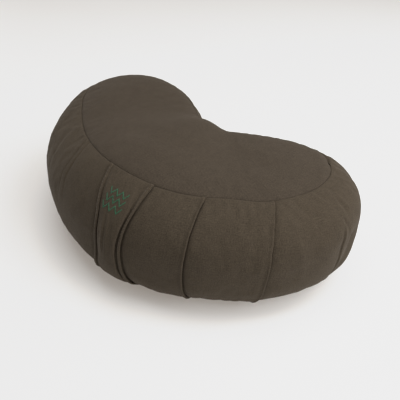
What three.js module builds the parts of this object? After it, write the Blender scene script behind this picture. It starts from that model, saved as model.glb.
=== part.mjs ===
// A crescent meditation cushion: a filled solid whose side is the pleated side band, a crescent
// panel on top, a crescent panel underneath, and a hemmed strap down the middle of the outer curve.
// Millimetres, +Z up. The outer curve faces -Y and the bay, where the heels go, faces +Y.
import * as THREE from "three";

const degrees = THREE.MathUtils.degToRad;

// The plan: offsets from a spine, an arc that runs along the middle of the crescent.
const SPINE_RADIUS = 136;
const SPINE_HALF_ANGLE = degrees(43.5);
const FRONT_HALF_WIDTH = 103.5;
const BAY_HALF_WIDTH = 103.5;
// The filling fills the bay out by this depth in its middle, less and less along this reach.
const BAY_FILL = { depth: 5, reach: 40 };
const BAY_HALF_LENGTH = SPINE_HALF_ANGLE * (SPINE_RADIUS - BAY_HALF_WIDTH);
// Each lobe is half an ellipse round its end of the spine. Its reach is in half widths.
const LEFT_LOBE = { halfWidth: 103, reach: 1.44 };
const RIGHT_LOBE = { halfWidth: 95.5, reach: 1.475 };

// The upright section. The exponents say how square its shoulders are: 2 is an ellipse.
const TOTAL_HEIGHT = 155;
const WIDEST_HEIGHT = 79;
const LOBE_DROP = 9.5;
const UPPER_EXPONENT = { front: 2.17, bay: 4.84 };
const LOWER_EXPONENT = { front: 2.9, bay: 4.84 };
// How far the lower half would reach below the floor if nothing held it up: it is flat there.
const FLATTENED_DEPTH = 4;
// Places round the plan are measured along this curve: shares of the half width.
const MEASURING_CURVE = { front: 0.504, bay: 0.889 };
// The bottom seam follows a curve of its own. The top seam lies further out round the back of each
// lobe, so its share is given at turns round the plan, the way planAt counts them.
const BOTTOM_SEAM = { front: 0.66, bay: 0.87 };
const TOP_SEAM = {
  turns: [0, 0.1, 0.2, 0.78, 0.86, 0.94, 1.02, 1.1, 1.2, 1.3, 1.4, 1.5, 1.6, 1.7, 1.8, 2, 3, 3.5,
    3.6, 3.65, 3.7, 3.75, 3.8, 3.9, 4],
  shares: [0.519, 0.507, 0.504, 0.504, 0.482, 0.464, 0.481, 0.513, 0.541, 0.583, 0.637, 0.697, 0.762,
    0.86, 0.887, 0.889, 0.889, 0.886, 0.872, 0.842, 0.79, 0.73, 0.67, 0.568, 0.519],
};

const CLOTH = 2;
const GAP = 0.46;
// Beside a seam the cloth sinks by this much, within about this far of it.
const SEAM_DIP = 1.4;
const SEAM_DIP_REACH = 3.5;

// Pleats and soft folds of the side band. at is the place round the plan, from the front middle,
// to the right. side is the way the fold opens. lean is how far the fold's top end stands off its
// line, and from and to are the shares of the band's height between which it shows.
const PLEATS = [
  { at: -150, side: -1, ridge: 1.6, valley: 1.0, spread: 1.5, lean: -8, from: 0, to: 0.8 },
  { at: -106, side: -1, ridge: 1.4, valley: 1.0, spread: 1.5, lean: -8, from: 0, to: 0.8 },
  { at: -53, side: -1, ridge: 1.4, valley: 1.6, spread: 0.8, lean: -19, from: 0, to: 1 },
  { at: 90, side: 1, ridge: 2.0, valley: 2.8, spread: 1, lean: 10.5, from: 0, to: 1 },
  { at: 154, side: 1, ridge: 1.8, valley: 2.2, spread: 1, lean: 19.5, from: 0, to: 1 },
  { at: 209, side: 1, ridge: 1.5, valley: 2.2, spread: 1.4, lean: 4, from: 0.2, to: 0.9 },
];
const LEAN_REACH = 30;
const LEAN_HEIGHT = 0.18;
const RIDGE_WIDTH = 9;
const VALLEY_WIDTH = 6;
// A pleat sewn into a seam has this share of its height there, and all of it a little way off.
// One that starts or stops short of a seam fades in and out. Lengths are shares of the height.
const SEWN_SHARE = 0.4;
const SEWN_LENGTH = 0.08;
const FADE_IN_LENGTH = 0.12;
const FADE_OUT_LENGTH = 0.25;
// Where a pleat gets its columns of points, across its fold.
const PLEAT_COLUMNS = [-16, -7, -2.5, -0.6, 1.2, 5, 13];
const COLUMN_SPACING = 14;

// The strap, by share of the band's height from the top seam: the place of its middle, its width,
// and how far its middle bulges between the two lengthwise folds.
const STRAP = [
  { share: 0, middle: 13, width: 61, bulge: 0 },
  { share: 0.1, middle: 17, width: 58, bulge: 1.2 },
  { share: 0.2, middle: 20, width: 50, bulge: 2.8 },
  { share: 0.3, middle: 20, width: 44, bulge: 4.4 },
  { share: 0.42, middle: 18, width: 38, bulge: 5 },
  { share: 0.58, middle: 16, width: 42, bulge: 4 },
  { share: 0.78, middle: 13.5, width: 52, bulge: 1.6 },
  { share: 1, middle: 12, width: 60, bulge: 0 },
];
const STRAP_THICKNESS = 2.4;
const STRAP_END_THICKNESS = 1.2;
const STRAP_TAPER = 10;
const STRAP_CLEARANCE = 0.5;
const STRAP_ENDS = [0.006, 0.99];
// Across the strap: the place in half widths, and the lift there in bulges. The hem stands up at
// each edge, with a fold between it and the middle.
const STRAP_ACROSS = [
  { place: 0, lift: 1 },
  { place: 0.36, lift: 0.88 },
  { place: 0.6, lift: 0.48 },
  { place: 0.76, lift: 0 },
  { place: 0.84, lift: 0.3 },
  { place: 0.93, lift: 0.78 },
  { place: 1, lift: 0.5 },
];

// Rows of points: shares of the band's height from the top seam, and shares of a panel's half
// width from its edge inwards. Inside the last row the faces are laid straight across.
const UPPER_BAND_ROWS = [0, 0.02, 0.05, 0.1, 0.16, 0.23, 0.3, 0.37, 0.44];
const LOWER_BAND_ROWS = [0.51, 0.58, 0.65, 0.72, 0.79, 0.86, 0.93, 0.98, 1];
const BAND_ROWS = [...UPPER_BAND_ROWS, ...LOWER_BAND_ROWS];
const PANEL_ROWS = [1, 0.95, 0.85, 0.68, 0.46, 0.24, 0.06];
const PROFILE_STEPS = 48;
const PERIMETER_STEPS = 1600;
// Steps used to find slopes: along the band, and in shares of a height and of a half width.
const SLOPE_STEP = { along: 1, down: 0.004, inwards: 0.03 };

const BAND_COLOUR = 0x4a4237;
const PANEL_COLOUR = 0x544b41;

function smoothStep(value) {
  return THREE.MathUtils.smoothstep(value, 0, 1);
}

function mix(pair, bayness) {
  return THREE.MathUtils.lerp(pair.front, pair.bay, bayness);
}

const topSeamCurve = new THREE.CubicInterpolant(TOP_SEAM.turns, TOP_SEAM.shares, 1, [0]);

function topSeam(plan) {
  return topSeamCurve.evaluate(plan.turn)[0];
}

function bottomSeam(plan) {
  return mix(BOTTOM_SEAM, plan.bayness);
}

function bayFill(fromMiddle) {
  return BAY_FILL.depth * Math.exp(-((fromMiddle / BAY_FILL.reach) ** 2));
}

// One place round the plan. turn runs 0 to 1 along the outer curve, to 2 round the right lobe,
// to 3 along the bay and to 4 round the left lobe, counterclockwise from above.
function planAt(turn) {
  const side = Math.floor(turn);
  const share = turn - side;
  const onSpine = { 0: 2 * share - 1, 1: 1, 2: 1 - 2 * share, 3: -1 }[side];
  const angle = onSpine * SPINE_HALF_ANGLE;
  const outward = new THREE.Vector2(Math.sin(angle), -Math.cos(angle));
  const along = new THREE.Vector2(Math.cos(angle), Math.sin(angle));
  const base = outward.clone().multiplyScalar(SPINE_RADIUS);
  base.y += SPINE_RADIUS;
  const lobe = onSpine > 0 ? RIGHT_LOBE : LEFT_LOBE;
  if (side === 0) {
    const nearLobe = smoothStep(Math.abs(onSpine));
    const halfWidth = THREE.MathUtils.lerp(FRONT_HALF_WIDTH, lobe.halfWidth, nearLobe);
    return { turn, base, out: outward, halfWidth, bayness: 0, onSpine };
  }
  if (side === 2) {
    const halfWidth = BAY_HALF_WIDTH + bayFill(Math.abs(onSpine) * BAY_HALF_LENGTH);
    return { turn, base, out: outward.negate(), halfWidth, bayness: 1, onSpine };
  }
  const round = (side === 1 ? share : 1 - share) * Math.PI;
  const bayness = (1 - Math.cos(round)) / 2;
  const out = outward
    .multiplyScalar(Math.cos(round))
    .addScaledVector(along, Math.sign(onSpine) * lobe.reach * Math.sin(round));
  const fromBay = lobe.reach * BAY_HALF_WIDTH * (Math.PI - round);
  const evenWidth = THREE.MathUtils.lerp(lobe.halfWidth, BAY_HALF_WIDTH, bayness);
  const halfWidth = evenWidth + bayFill(BAY_HALF_LENGTH + fromBay);
  return { turn, base, out, halfWidth, bayness, onSpine };
}

function offset(plan, share) {
  return plan.out.clone().multiplyScalar(plan.halfWidth * share).add(plan.base);
}

// Heights of the upper and the lower skin at a share of the half width.
function upperHeight(plan, share) {
  const exponent = mix(UPPER_EXPONENT, plan.bayness);
  const rise = TOTAL_HEIGHT - WIDEST_HEIGHT - LOBE_DROP * smoothStep(Math.abs(plan.onSpine));
  return WIDEST_HEIGHT + rise * (1 - Math.min(share, 1) ** exponent) ** (1 / exponent);
}

function lowerHeight(plan, share) {
  const exponent = mix(LOWER_EXPONENT, plan.bayness);
  const depth = WIDEST_HEIGHT + FLATTENED_DEPTH;
  return Math.max(0, WIDEST_HEIGHT - depth * (1 - Math.min(share, 1) ** exponent) ** (1 / exponent));
}

// The perimeter, measured along its curve from the front middle.
const PERIMETER = [];
let run = 0;
for (let i = 0; i <= PERIMETER_STEPS; i++) {
  const turn = 0.5 + (4 * i) / PERIMETER_STEPS;
  const plan = planAt(turn % 4);
  const point = offset(plan, mix(MEASURING_CURVE, plan.bayness));
  if (i > 0) run += point.distanceTo(PERIMETER[i - 1].point);
  PERIMETER.push({ turn, point, run });
}
const PERIMETER_LENGTH = run;

function planAtPlace(place) {
  const wanted = THREE.MathUtils.euclideanModulo(place, PERIMETER_LENGTH);
  let low = 0;
  let high = PERIMETER_STEPS;
  while (high - low > 1) {
    const middle = (low + high) >> 1;
    if (PERIMETER[middle].run > wanted) high = middle;
    else low = middle;
  }
  const share = (wanted - PERIMETER[low].run) / (PERIMETER[high].run - PERIMETER[low].run);
  const turn = THREE.MathUtils.lerp(PERIMETER[low].turn, PERIMETER[high].turn, share);
  return planAt(turn % 4);
}

// The smooth band, by place round the plan and share of its height from the top seam.
function bandSkin(place, share) {
  const plan = planAtPlace(place);
  const start = Math.acos(topSeam(plan) ** (mix(UPPER_EXPONENT, plan.bayness) / 2));
  const end = Math.acos(bottomSeam(plan) ** (mix(LOWER_EXPONENT, plan.bayness) / 2));
  const points = [];
  for (let i = 0; i <= PROFILE_STEPS; i++) {
    const angle = THREE.MathUtils.lerp(start, -end, i / PROFILE_STEPS);
    const exponent = mix(angle > 0 ? UPPER_EXPONENT : LOWER_EXPONENT, plan.bayness);
    const across = Math.cos(angle) ** (2 / exponent);
    const height = angle > 0 ? upperHeight(plan, across) : lowerHeight(plan, across);
    points.push(new THREE.Vector2(across * plan.halfWidth, height));
  }
  const lengths = [0];
  for (let i = 1; i < points.length; i++) {
    lengths.push(lengths[i - 1] + points[i].distanceTo(points[i - 1]));
  }
  const total = lengths[PROFILE_STEPS];
  const wanted = THREE.MathUtils.clamp(share, 0, 1) * total;
  let i = 1;
  while (i < PROFILE_STEPS && lengths[i] < wanted) i++;
  const part = (wanted - lengths[i - 1]) / (lengths[i] - lengths[i - 1]);
  const point = points[i - 1].clone().lerp(points[i], part);
  const flat = offset(plan, point.x / plan.halfWidth);
  return { point: new THREE.Vector3(flat.x, flat.y, point.y), total };
}

// A point on the band's skin, its outward normal and the skin's stretch along the band there.
function bandFrame(place, share) {
  const up = Math.max(0, share - SLOPE_STEP.down);
  const down = Math.min(1, share + SLOPE_STEP.down);
  const left = bandSkin(place - SLOPE_STEP.along, share).point;
  const right = bandSkin(place + SLOPE_STEP.along, share).point;
  const across = right.clone().sub(left);
  const upwards = bandSkin(place, up).point.sub(bandSkin(place, down).point);
  const { point, total } = bandSkin(place, share);
  const stretch = across.length() / (2 * SLOPE_STEP.along);
  return { point, normal: across.cross(upwards).normalize(), stretch, total };
}

// How far pleats lean near the top seam.
function leanAt(place, share) {
  let lean = 0;
  for (const pleat of PLEATS) {
    const away = (place - pleat.at) / LEAN_REACH;
    lean += pleat.lean * Math.exp(-away * away) * Math.exp(-share / LEAN_HEIGHT);
  }
  return lean;
}

// How much of a pleat there is at a share of the band's height.
function pleatStrength(pleat, share) {
  const sewn = THREE.MathUtils.lerp(SEWN_SHARE, 1, smoothStep(share / SEWN_LENGTH));
  const start = pleat.from === 0 ? sewn : smoothStep((share - pleat.from) / FADE_IN_LENGTH);
  const stop = pleat.to === 1 ? 1 : smoothStep((pleat.to - share) / FADE_OUT_LENGTH);
  return start * stop;
}

// How far the pleats raise or sink the band.
function pleatRelief(place, share) {
  let relief = 0;
  for (const pleat of PLEATS) {
    const away = (pleat.side * (place - pleat.at)) / pleat.spread;
    const ridge = pleat.ridge * Math.exp(away / RIDGE_WIDTH);
    const valley = -pleat.valley * Math.exp(-away / VALLEY_WIDTH);
    relief += (away < 0 ? ridge : valley) * pleatStrength(pleat, share);
  }
  return relief;
}

function seamDip(distance) {
  return SEAM_DIP * Math.exp(-((distance / SEAM_DIP_REACH) ** 2));
}

// Places of the columns of points: close across each pleat, evenly spread between.
function columnPlaces() {
  const half = PERIMETER_LENGTH / 2;
  const close = PLEATS.flatMap(({ at, side, spread }) =>
    PLEAT_COLUMNS.map((distance) => at + side * spread * distance),
  );
  close.push(-half);
  close.sort((a, b) => a - b);
  const places = [];
  close.forEach((place, i) => {
    const next = i + 1 < close.length ? close[i + 1] : half;
    const steps = Math.max(1, Math.round((next - place) / COLUMN_SPACING));
    for (let k = 0; k < steps; k++) places.push(THREE.MathUtils.lerp(place, next, k / steps));
  });
  return places;
}
const COLUMNS = columnPlaces();

// A closed body from rings of points, each counterclockwise from above. A four-sided face is split
// along its shorter diagonal, so that parallel skins are split alike. The pleated rings are all
// split one way, so that a fold's edge runs even.
function shellOf(rings, pleated = []) {
  const count = rings[0].length;
  const points = rings.flat();
  const faces = [];
  for (let i = 0; i + 1 < rings.length; i++) {
    const isPleated = pleated.includes(rings[i]) || pleated.includes(rings[i + 1]);
    for (let j = 0; j < count; j++) {
      const a = i * count + j;
      const b = i * count + ((j + 1) % count);
      const c = b + count;
      const d = a + count;
      const isShorter = points[a].distanceTo(points[c]) < points[b].distanceTo(points[d]);
      if (isPleated || isShorter) faces.push(a, b, c, a, c, d);
      else faces.push(a, b, d, b, c, d);
    }
  }
  const last = (rings.length - 1) * count;
  for (const [a, b, c] of ladderAcross(rings[0])) faces.push(a, c, b);
  for (const [a, b, c] of ladderAcross(rings.at(-1))) faces.push(last + a, last + b, last + c);
  return geometryOf(points, faces);
}

// The faces inside a narrow ring, laid from its outer curve across to its bay side.
function ladderAcross(ring) {
  const count = ring.length;
  const xs = ring.map((point) => point.x);
  const left = xs.indexOf(Math.min(...xs));
  const right = xs.indexOf(Math.max(...xs));
  const faces = [];
  let front = left;
  let bay = left;
  while (front !== right || bay !== right) {
    const nextFront = (front + 1) % count;
    const nextBay = (bay + count - 1) % count;
    if (bay === right || (front !== right && xs[nextFront] < xs[nextBay])) {
      if (nextFront !== bay) faces.push([front, nextFront, bay]);
      front = nextFront;
    } else {
      if (nextBay !== front) faces.push([front, nextBay, bay]);
      bay = nextBay;
    }
  }
  return faces;
}

function geometryOf(points, faces) {
  const geometry = new THREE.BufferGeometry().setFromPoints(points);
  geometry.setIndex(faces);
  geometry.computeVertexNormals();
  return geometry;
}

function ring(places, share, heightAt) {
  return places.map((place) => {
    const plan = planAtPlace(place);
    const flat = offset(plan, share(plan));
    return new THREE.Vector3(flat.x, flat.y, heightAt(plan));
  });
}

// Where the columns meet the top seam, with the pleats' lean, and the bottom seam.
const TOP_PLACES = COLUMNS.map((place) => place + leanAt(place, 0));
const BOTTOM_PLACES = COLUMNS.map((place) => place + leanAt(place, 1));

const TOP = { seam: topSeam, places: TOP_PLACES, heightOf: upperHeight, dipSign: -1 };
const BOTTOM = { seam: bottomSeam, places: BOTTOM_PLACES, heightOf: lowerHeight, dipSign: 1 };

// The height of a panel's skin at a share of the way out to its seam.
function panelHeight(panel, plan, row) {
  const seamShare = panel.seam(plan);
  const fromEdge = seamShare * plan.halfWidth * (1 - row);
  return panel.heightOf(plan, seamShare * row) + panel.dipSign * seamDip(fromEdge);
}

// How much longer an upright distance is than the same distance square to a panel's skin.
function panelSlant(panel, plan, row) {
  const rise = panelHeight(panel, plan, row) - panelHeight(panel, plan, row - SLOPE_STEP.inwards);
  const distance = panel.seam(plan) * plan.halfWidth * SLOPE_STEP.inwards;
  return Math.hypot(1, rise / distance);
}

// One ring of a panel's skin, at a share of the way out to its seam. lift raises it, square to
// the skin, and margin moves it outwards in plan alone.
function panelRing(panel, row, lift, margin) {
  const share = (plan) => panel.seam(plan) * row + margin / plan.halfWidth;
  const heightAt = (plan) => panelHeight(panel, plan, row) + lift * panelSlant(panel, plan, row);
  return ring(panel.places, share, heightAt);
}

// Rings of a panel's skin, from the edge inwards.
function panelRings(panel, lift) {
  return PANEL_ROWS.map((row) => panelRing(panel, row, lift, 0));
}

function topPanel() {
  return shellOf([...panelRings(TOP, -CLOTH).reverse(), ...panelRings(TOP, 0)]);
}

function bottomPanel() {
  return shellOf([...panelRings(BOTTOM, 0).reverse(), ...panelRings(BOTTOM, CLOTH)]);
}

function bandRing(share) {
  return COLUMNS.map((column) => {
    const place = column + leanAt(column, share);
    const { point, normal, total } = bandFrame(place, share);
    const dip = seamDip(share * total) + seamDip((1 - share) * total);
    return point.addScaledVector(normal, pleatRelief(column, share) - dip);
  });
}

// The filled solid, from the middle of its hidden underside out to the bottom seam, up the band
// to the top seam and in to the middle of its hidden top. A panel lies in a step at each seam.
function filledSideBand() {
  const step = CLOTH + GAP;
  const underside = [...panelRings(BOTTOM, step).reverse(), panelRing(BOTTOM, 1, step, GAP)];
  const rows = BAND_ROWS.slice(1, -1).reverse();
  const band = [panelRing(BOTTOM, 1, 0, GAP), ...rows.map(bandRing), panelRing(TOP, 1, 0, GAP)];
  const top = [panelRing(TOP, 1, -step, GAP), ...panelRings(TOP, -step)];
  return shellOf([...underside, ...band, ...top], band.slice(1, -1));
}

function strapShape() {
  const shares = STRAP.map((row) => row.share);
  const values = STRAP.flatMap((row) => [row.middle, row.width, row.bulge]);
  const curve = new THREE.CubicInterpolant(shares, values, 3, new Float32Array(3));
  return (share) => {
    const [middle, width, bulge] = curve.evaluate(share);
    return { middle, width, bulge: Math.max(0, bulge) };
  };
}

function carryStrap() {
  const shapeAt = strapShape();
  const mirrored = STRAP_ACROSS.slice(1).map(({ place, lift }) => ({ place: -place, lift }));
  const across = [...mirrored.reverse(), ...STRAP_ACROSS];
  const [first, last] = STRAP_ENDS;
  const rows = [first, ...BAND_ROWS.filter((share) => share > first && share < last), last];
  const inner = [];
  const outer = [];
  for (const share of rows) {
    const { middle, width, bulge } = shapeAt(share);
    const { stretch, total } = bandFrame(middle, share);
    const fromEnd = Math.min(share, 1 - share) * total;
    const grown = smoothStep(fromEnd / STRAP_TAPER);
    const thickness = THREE.MathUtils.lerp(STRAP_END_THICKNESS, STRAP_THICKNESS, grown);
    for (const { place, lift } of across) {
      const frame = bandFrame(middle + (place * width) / 2 / stretch, share);
      const low = STRAP_CLEARANCE + lift * bulge - seamDip(fromEnd);
      inner.push(frame.point.clone().addScaledVector(frame.normal, low));
      outer.push(frame.point.clone().addScaledVector(frame.normal, low + thickness));
    }
  }
  return stripOf(outer, inner, rows.length, across.length);
}

// A closed strip between an outer and an inner grid of points, row by row from the top down.
function stripOf(outer, inner, rows, across) {
  const faces = [];
  const quad = (a, b, c, d) => faces.push(a, b, c, a, c, d);
  const at = (row, column) => row * across + column;
  const within = (row, column) => outer.length + at(row, column);
  for (let r = 0; r + 1 < rows; r++) {
    for (let c = 0; c + 1 < across; c++) {
      quad(at(r, c), at(r + 1, c), at(r + 1, c + 1), at(r, c + 1));
      quad(within(r, c), within(r, c + 1), within(r + 1, c + 1), within(r + 1, c));
    }
    quad(at(r, 0), within(r, 0), within(r + 1, 0), at(r + 1, 0));
    quad(at(r, across - 1), at(r + 1, across - 1), within(r + 1, across - 1), within(r, across - 1));
  }
  for (let c = 0; c + 1 < across; c++) {
    quad(at(0, c), at(0, c + 1), within(0, c + 1), within(0, c));
    quad(at(rows - 1, c), within(rows - 1, c), within(rows - 1, c + 1), at(rows - 1, c + 1));
  }
  return geometryOf([...outer, ...inner], faces);
}

function piece(name, geometry, color) {
  const cloth = new THREE.MeshStandardMaterial({ color, roughness: 0.9, metalness: 0 });
  const mesh = new THREE.Mesh(geometry, cloth);
  mesh.name = name;
  return mesh;
}

const pieces = new THREE.Group();
pieces.add(piece("filled_side_band", filledSideBand(), BAND_COLOUR));
pieces.add(piece("top_panel", topPanel(), PANEL_COLOUR));
pieces.add(piece("bottom_panel", bottomPanel(), PANEL_COLOUR));
pieces.add(piece("carry_strap", carryStrap(), BAND_COLOUR));

// The origin is the middle of the footprint, on the floor.
const extent = new THREE.Box3().setFromObject(pieces);
const middle = extent.getCenter(new THREE.Vector3());
pieces.position.set(-middle.x, -middle.y, -extent.min.z);

const cushion = new THREE.Group();
cushion.add(pieces);
export default cushion;
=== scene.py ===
"""A crescent meditation cushion: its cloth, sewing, camera, floor and light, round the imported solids.

Lengths in the tables and in the shape functions are millimetres, in the frame of the solids.
"""
import math
from collections import namedtuple

import bpy
import numpy as np
from mathutils import Matrix, Vector


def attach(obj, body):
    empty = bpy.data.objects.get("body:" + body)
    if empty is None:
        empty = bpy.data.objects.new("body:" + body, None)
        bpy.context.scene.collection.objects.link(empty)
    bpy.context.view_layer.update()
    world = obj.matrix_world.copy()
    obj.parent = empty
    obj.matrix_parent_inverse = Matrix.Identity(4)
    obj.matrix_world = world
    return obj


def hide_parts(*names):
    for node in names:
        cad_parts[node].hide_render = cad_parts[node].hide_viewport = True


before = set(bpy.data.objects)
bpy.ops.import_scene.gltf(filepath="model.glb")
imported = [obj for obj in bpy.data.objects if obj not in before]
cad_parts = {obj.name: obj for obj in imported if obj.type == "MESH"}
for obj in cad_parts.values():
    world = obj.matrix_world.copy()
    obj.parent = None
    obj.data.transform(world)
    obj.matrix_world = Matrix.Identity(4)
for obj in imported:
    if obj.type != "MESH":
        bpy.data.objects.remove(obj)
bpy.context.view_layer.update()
MM = 0.001

# ---- camera ----
IMAGE_WIDTH = 400
FOCAL_LENGTH_PX = 548.05
SENSOR_MM = 36.0
AZIMUTH = 0.685
ELEVATION = 0.675
DISTANCE_MM = 674.3
ROLL = 0.054
AIM = (43.89, 6.58, 75.0)
CLIP_START, CLIP_END = 0.01, 50


def make_camera():
    data = bpy.data.cameras.new("camera")
    data.sensor_fit = "HORIZONTAL"
    data.sensor_width = SENSOR_MM
    data.lens = FOCAL_LENGTH_PX / IMAGE_WIDTH * SENSOR_MM
    data.clip_start, data.clip_end = CLIP_START, CLIP_END
    camera = bpy.data.objects.new("camera", data)
    bpy.context.scene.collection.objects.link(camera)
    flat = math.cos(ELEVATION)
    back = Vector((math.sin(AZIMUTH) * flat, -math.cos(AZIMUTH) * flat, math.sin(ELEVATION)))
    camera.location = (Vector(AIM) + back * DISTANCE_MM) * MM
    turn = (-back).to_track_quat("-Z", "Y").to_matrix() @ Matrix.Rotation(ROLL, 3, "Z")
    camera.rotation_euler = turn.to_euler()
    bpy.context.scene.camera = camera


make_camera()

# ---- the shape of the cushion, as in the solids ----
SPINE_RADIUS = 136.0
SPINE_HALF_ANGLE = math.radians(43.5)
FRONT_HALF_WIDTH = 103.5
BAY_HALF_WIDTH = 103.5
BAY_HALF_LENGTH = SPINE_HALF_ANGLE * (SPINE_RADIUS - BAY_HALF_WIDTH)
# How far the filling fills the bay out in its middle, and how far along it.
BAY_FILL = (5.0, 40.0)
# The half width of each rounded end, and how many half widths it reaches along the spine.
LEFT_LOBE = (103.0, 1.44)
RIGHT_LOBE = (95.5, 1.475)
TOTAL_HEIGHT = 155.0
WIDEST_HEIGHT = 79.0
LOBE_DROP = 9.5
# How square the profile is above and below its widest height, at the front and at the bay, and how
# much of it the floor flattens.
UPPER_EXPONENT = (2.17, 4.84)
LOWER_EXPONENT = (2.9, 4.84)
FLATTENED_DEPTH = 4.0
# Places round the plan are measured along this curve. It and the seams are shares of the half
# width: at the front and at the bay, or by turn round the plan.
MEASURING_CURVE = (0.504, 0.889)
BOTTOM_SEAM = (0.66, 0.87)
TOP_SEAM_TURNS = (
    0, 0.1, 0.2, 0.78, 0.86, 0.94, 1.02, 1.1, 1.2, 1.3, 1.4, 1.5, 1.6, 1.7, 1.8, 2, 3, 3.5, 3.6, 3.65, 3.7,
    3.75, 3.8, 3.9, 4,
)
TOP_SEAM_SHARES = (
    0.519, 0.507, 0.504, 0.504, 0.482, 0.464, 0.481, 0.513, 0.541, 0.583, 0.637, 0.697, 0.762, 0.86, 0.887,
    0.889, 0.889, 0.886, 0.872, 0.842, 0.79, 0.73, 0.67, 0.568, 0.519,
)
PLAN_SHIFT = np.array([2.107, -27.264])


def step01(x):
    x = np.clip(x, 0, 1)
    return x * x * (3 - 2 * x)


def mix(pair, t):
    return pair[0] + (pair[1] - pair[0]) * t


def smooth_curve(x, xs, ys):
    """A smooth curve through points, by cubic pieces with central slopes."""
    xs, ys = np.asarray(xs, float), np.asarray(ys, float)
    slopes = np.gradient(ys, xs)
    i = np.clip(np.searchsorted(xs, x) - 1, 0, len(xs) - 2)
    h = xs[i + 1] - xs[i]
    t = np.clip((x - xs[i]) / h, 0, 1)
    a, b, m, n = ys[i], ys[i + 1], slopes[i] * h, slopes[i + 1] * h
    start = a * (1 + 2 * t) * (1 - t) ** 2 + m * t * (1 - t) ** 2
    return start + b * t * t * (3 - 2 * t) - n * t * t * (1 - t)


def bay_fill(from_middle):
    return BAY_FILL[0] * np.exp(-((from_middle / BAY_FILL[1]) ** 2))


class Plan:
    """Places round the plan. turn runs 0 to 1 along the outer curve, to 2 round the right lobe,
    to 3 along the bay and to 4 round the left lobe."""

    def __init__(self, turn):
        turn = np.asarray(turn, float) % 4
        self.turn = turn
        side = np.floor(turn).astype(int)
        share = turn - side
        sides = [side == 0, side == 1, side == 2]
        self.on_spine = np.select(sides, [2 * share - 1, np.ones_like(share), 1 - 2 * share], -1.0)
        angle = self.on_spine * SPINE_HALF_ANGLE
        outward = np.stack([np.sin(angle), -np.cos(angle)], -1)
        along = np.stack([np.cos(angle), np.sin(angle)], -1)
        self.base = SPINE_RADIUS * outward + np.array([0, SPINE_RADIUS]) + PLAN_SHIFT
        right = self.on_spine > 0
        lobe_width = np.where(right, RIGHT_LOBE[0], LEFT_LOBE[0])
        reach = np.where(right, RIGHT_LOBE[1], LEFT_LOBE[1]) * np.sign(self.on_spine)
        turned = np.pi * np.select(sides, [0 * share, share, 0 * share + 1], 1 - share)
        self.bayness = (1 - np.cos(turned)) / 2
        self.out = outward * np.cos(turned)[..., None] + along * (reach * np.sin(turned))[..., None]
        near_lobe = step01(np.abs(self.on_spine))
        front = FRONT_HALF_WIDTH + (lobe_width - FRONT_HALF_WIDTH) * near_lobe
        from_bay = np.abs(reach) * BAY_HALF_WIDTH * (np.pi - turned)
        cap = lobe_width + (BAY_HALF_WIDTH - lobe_width) * self.bayness
        cap = cap + bay_fill(BAY_HALF_LENGTH + from_bay)
        bay = BAY_HALF_WIDTH + bay_fill(np.abs(self.on_spine) * BAY_HALF_LENGTH)
        self.half_width = np.select([sides[0], sides[2]], [front, bay], cap)

    def top_seam(self):
        return smooth_curve(self.turn, TOP_SEAM_TURNS, TOP_SEAM_SHARES)

    def bottom_seam(self):
        return mix(BOTTOM_SEAM, self.bayness)

    def offset(self, share):
        return self.base + self.out * (self.half_width * share)[..., None]

    def upper(self, share):
        n = mix(UPPER_EXPONENT, self.bayness)
        rise = TOTAL_HEIGHT - WIDEST_HEIGHT - LOBE_DROP * step01(np.abs(self.on_spine))
        return WIDEST_HEIGHT + rise * (1 - np.clip(share, 0, 1) ** n) ** (1 / n)

    def lower(self, share):
        n = mix(LOWER_EXPONENT, self.bayness)
        depth = WIDEST_HEIGHT + FLATTENED_DEPTH
        return np.maximum(0, WIDEST_HEIGHT - depth * (1 - np.clip(share, 0, 1) ** n) ** (1 / n))


FRONT_MIDDLE_TURN = 0.5
PERIMETER_STEPS = 4000
PERIMETER_TURNS = FRONT_MIDDLE_TURN + 4 * np.arange(PERIMETER_STEPS + 1) / PERIMETER_STEPS


def running_length(points):
    return np.r_[0, np.cumsum(np.linalg.norm(np.diff(points, axis=0), axis=1))]


perimeter = Plan(PERIMETER_TURNS)
SEAM_RUN = running_length(perimeter.offset(mix(MEASURING_CURVE, perimeter.bayness)))
WIDE_RUN = running_length(perimeter.offset(np.ones(len(PERIMETER_TURNS))))
SEAM_LENGTH = SEAM_RUN[-1]
WIDE_LENGTH = WIDE_RUN[-1]


def plan_on_seam(place):
    """place runs along the measuring curve from the front middle, to the right."""
    return Plan(np.interp(np.mod(place, SEAM_LENGTH), SEAM_RUN, PERIMETER_TURNS))


def from_front(place):
    """The same place, at most half way round to either side."""
    return np.mod(place + SEAM_LENGTH / 2, SEAM_LENGTH) - SEAM_LENGTH / 2


def place_of_wide(wide):
    """The place along the measuring curve of a place along the widest line."""
    laps = np.floor(np.asarray(wide) / WIDE_LENGTH)
    return laps * SEAM_LENGTH + np.interp(np.mod(wide, WIDE_LENGTH), WIDE_RUN, SEAM_RUN)


def wide_of_place(place):
    laps = np.floor(np.asarray(place) / SEAM_LENGTH)
    return laps * WIDE_LENGTH + np.interp(np.mod(place, SEAM_LENGTH), SEAM_RUN, WIDE_RUN)


# The smooth band as a table of points by place and by share of its height, from its top seam down.
TABLE_PLACES = 1200
TABLE_SHARES = 241
PROFILE_STEPS = 480


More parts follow.
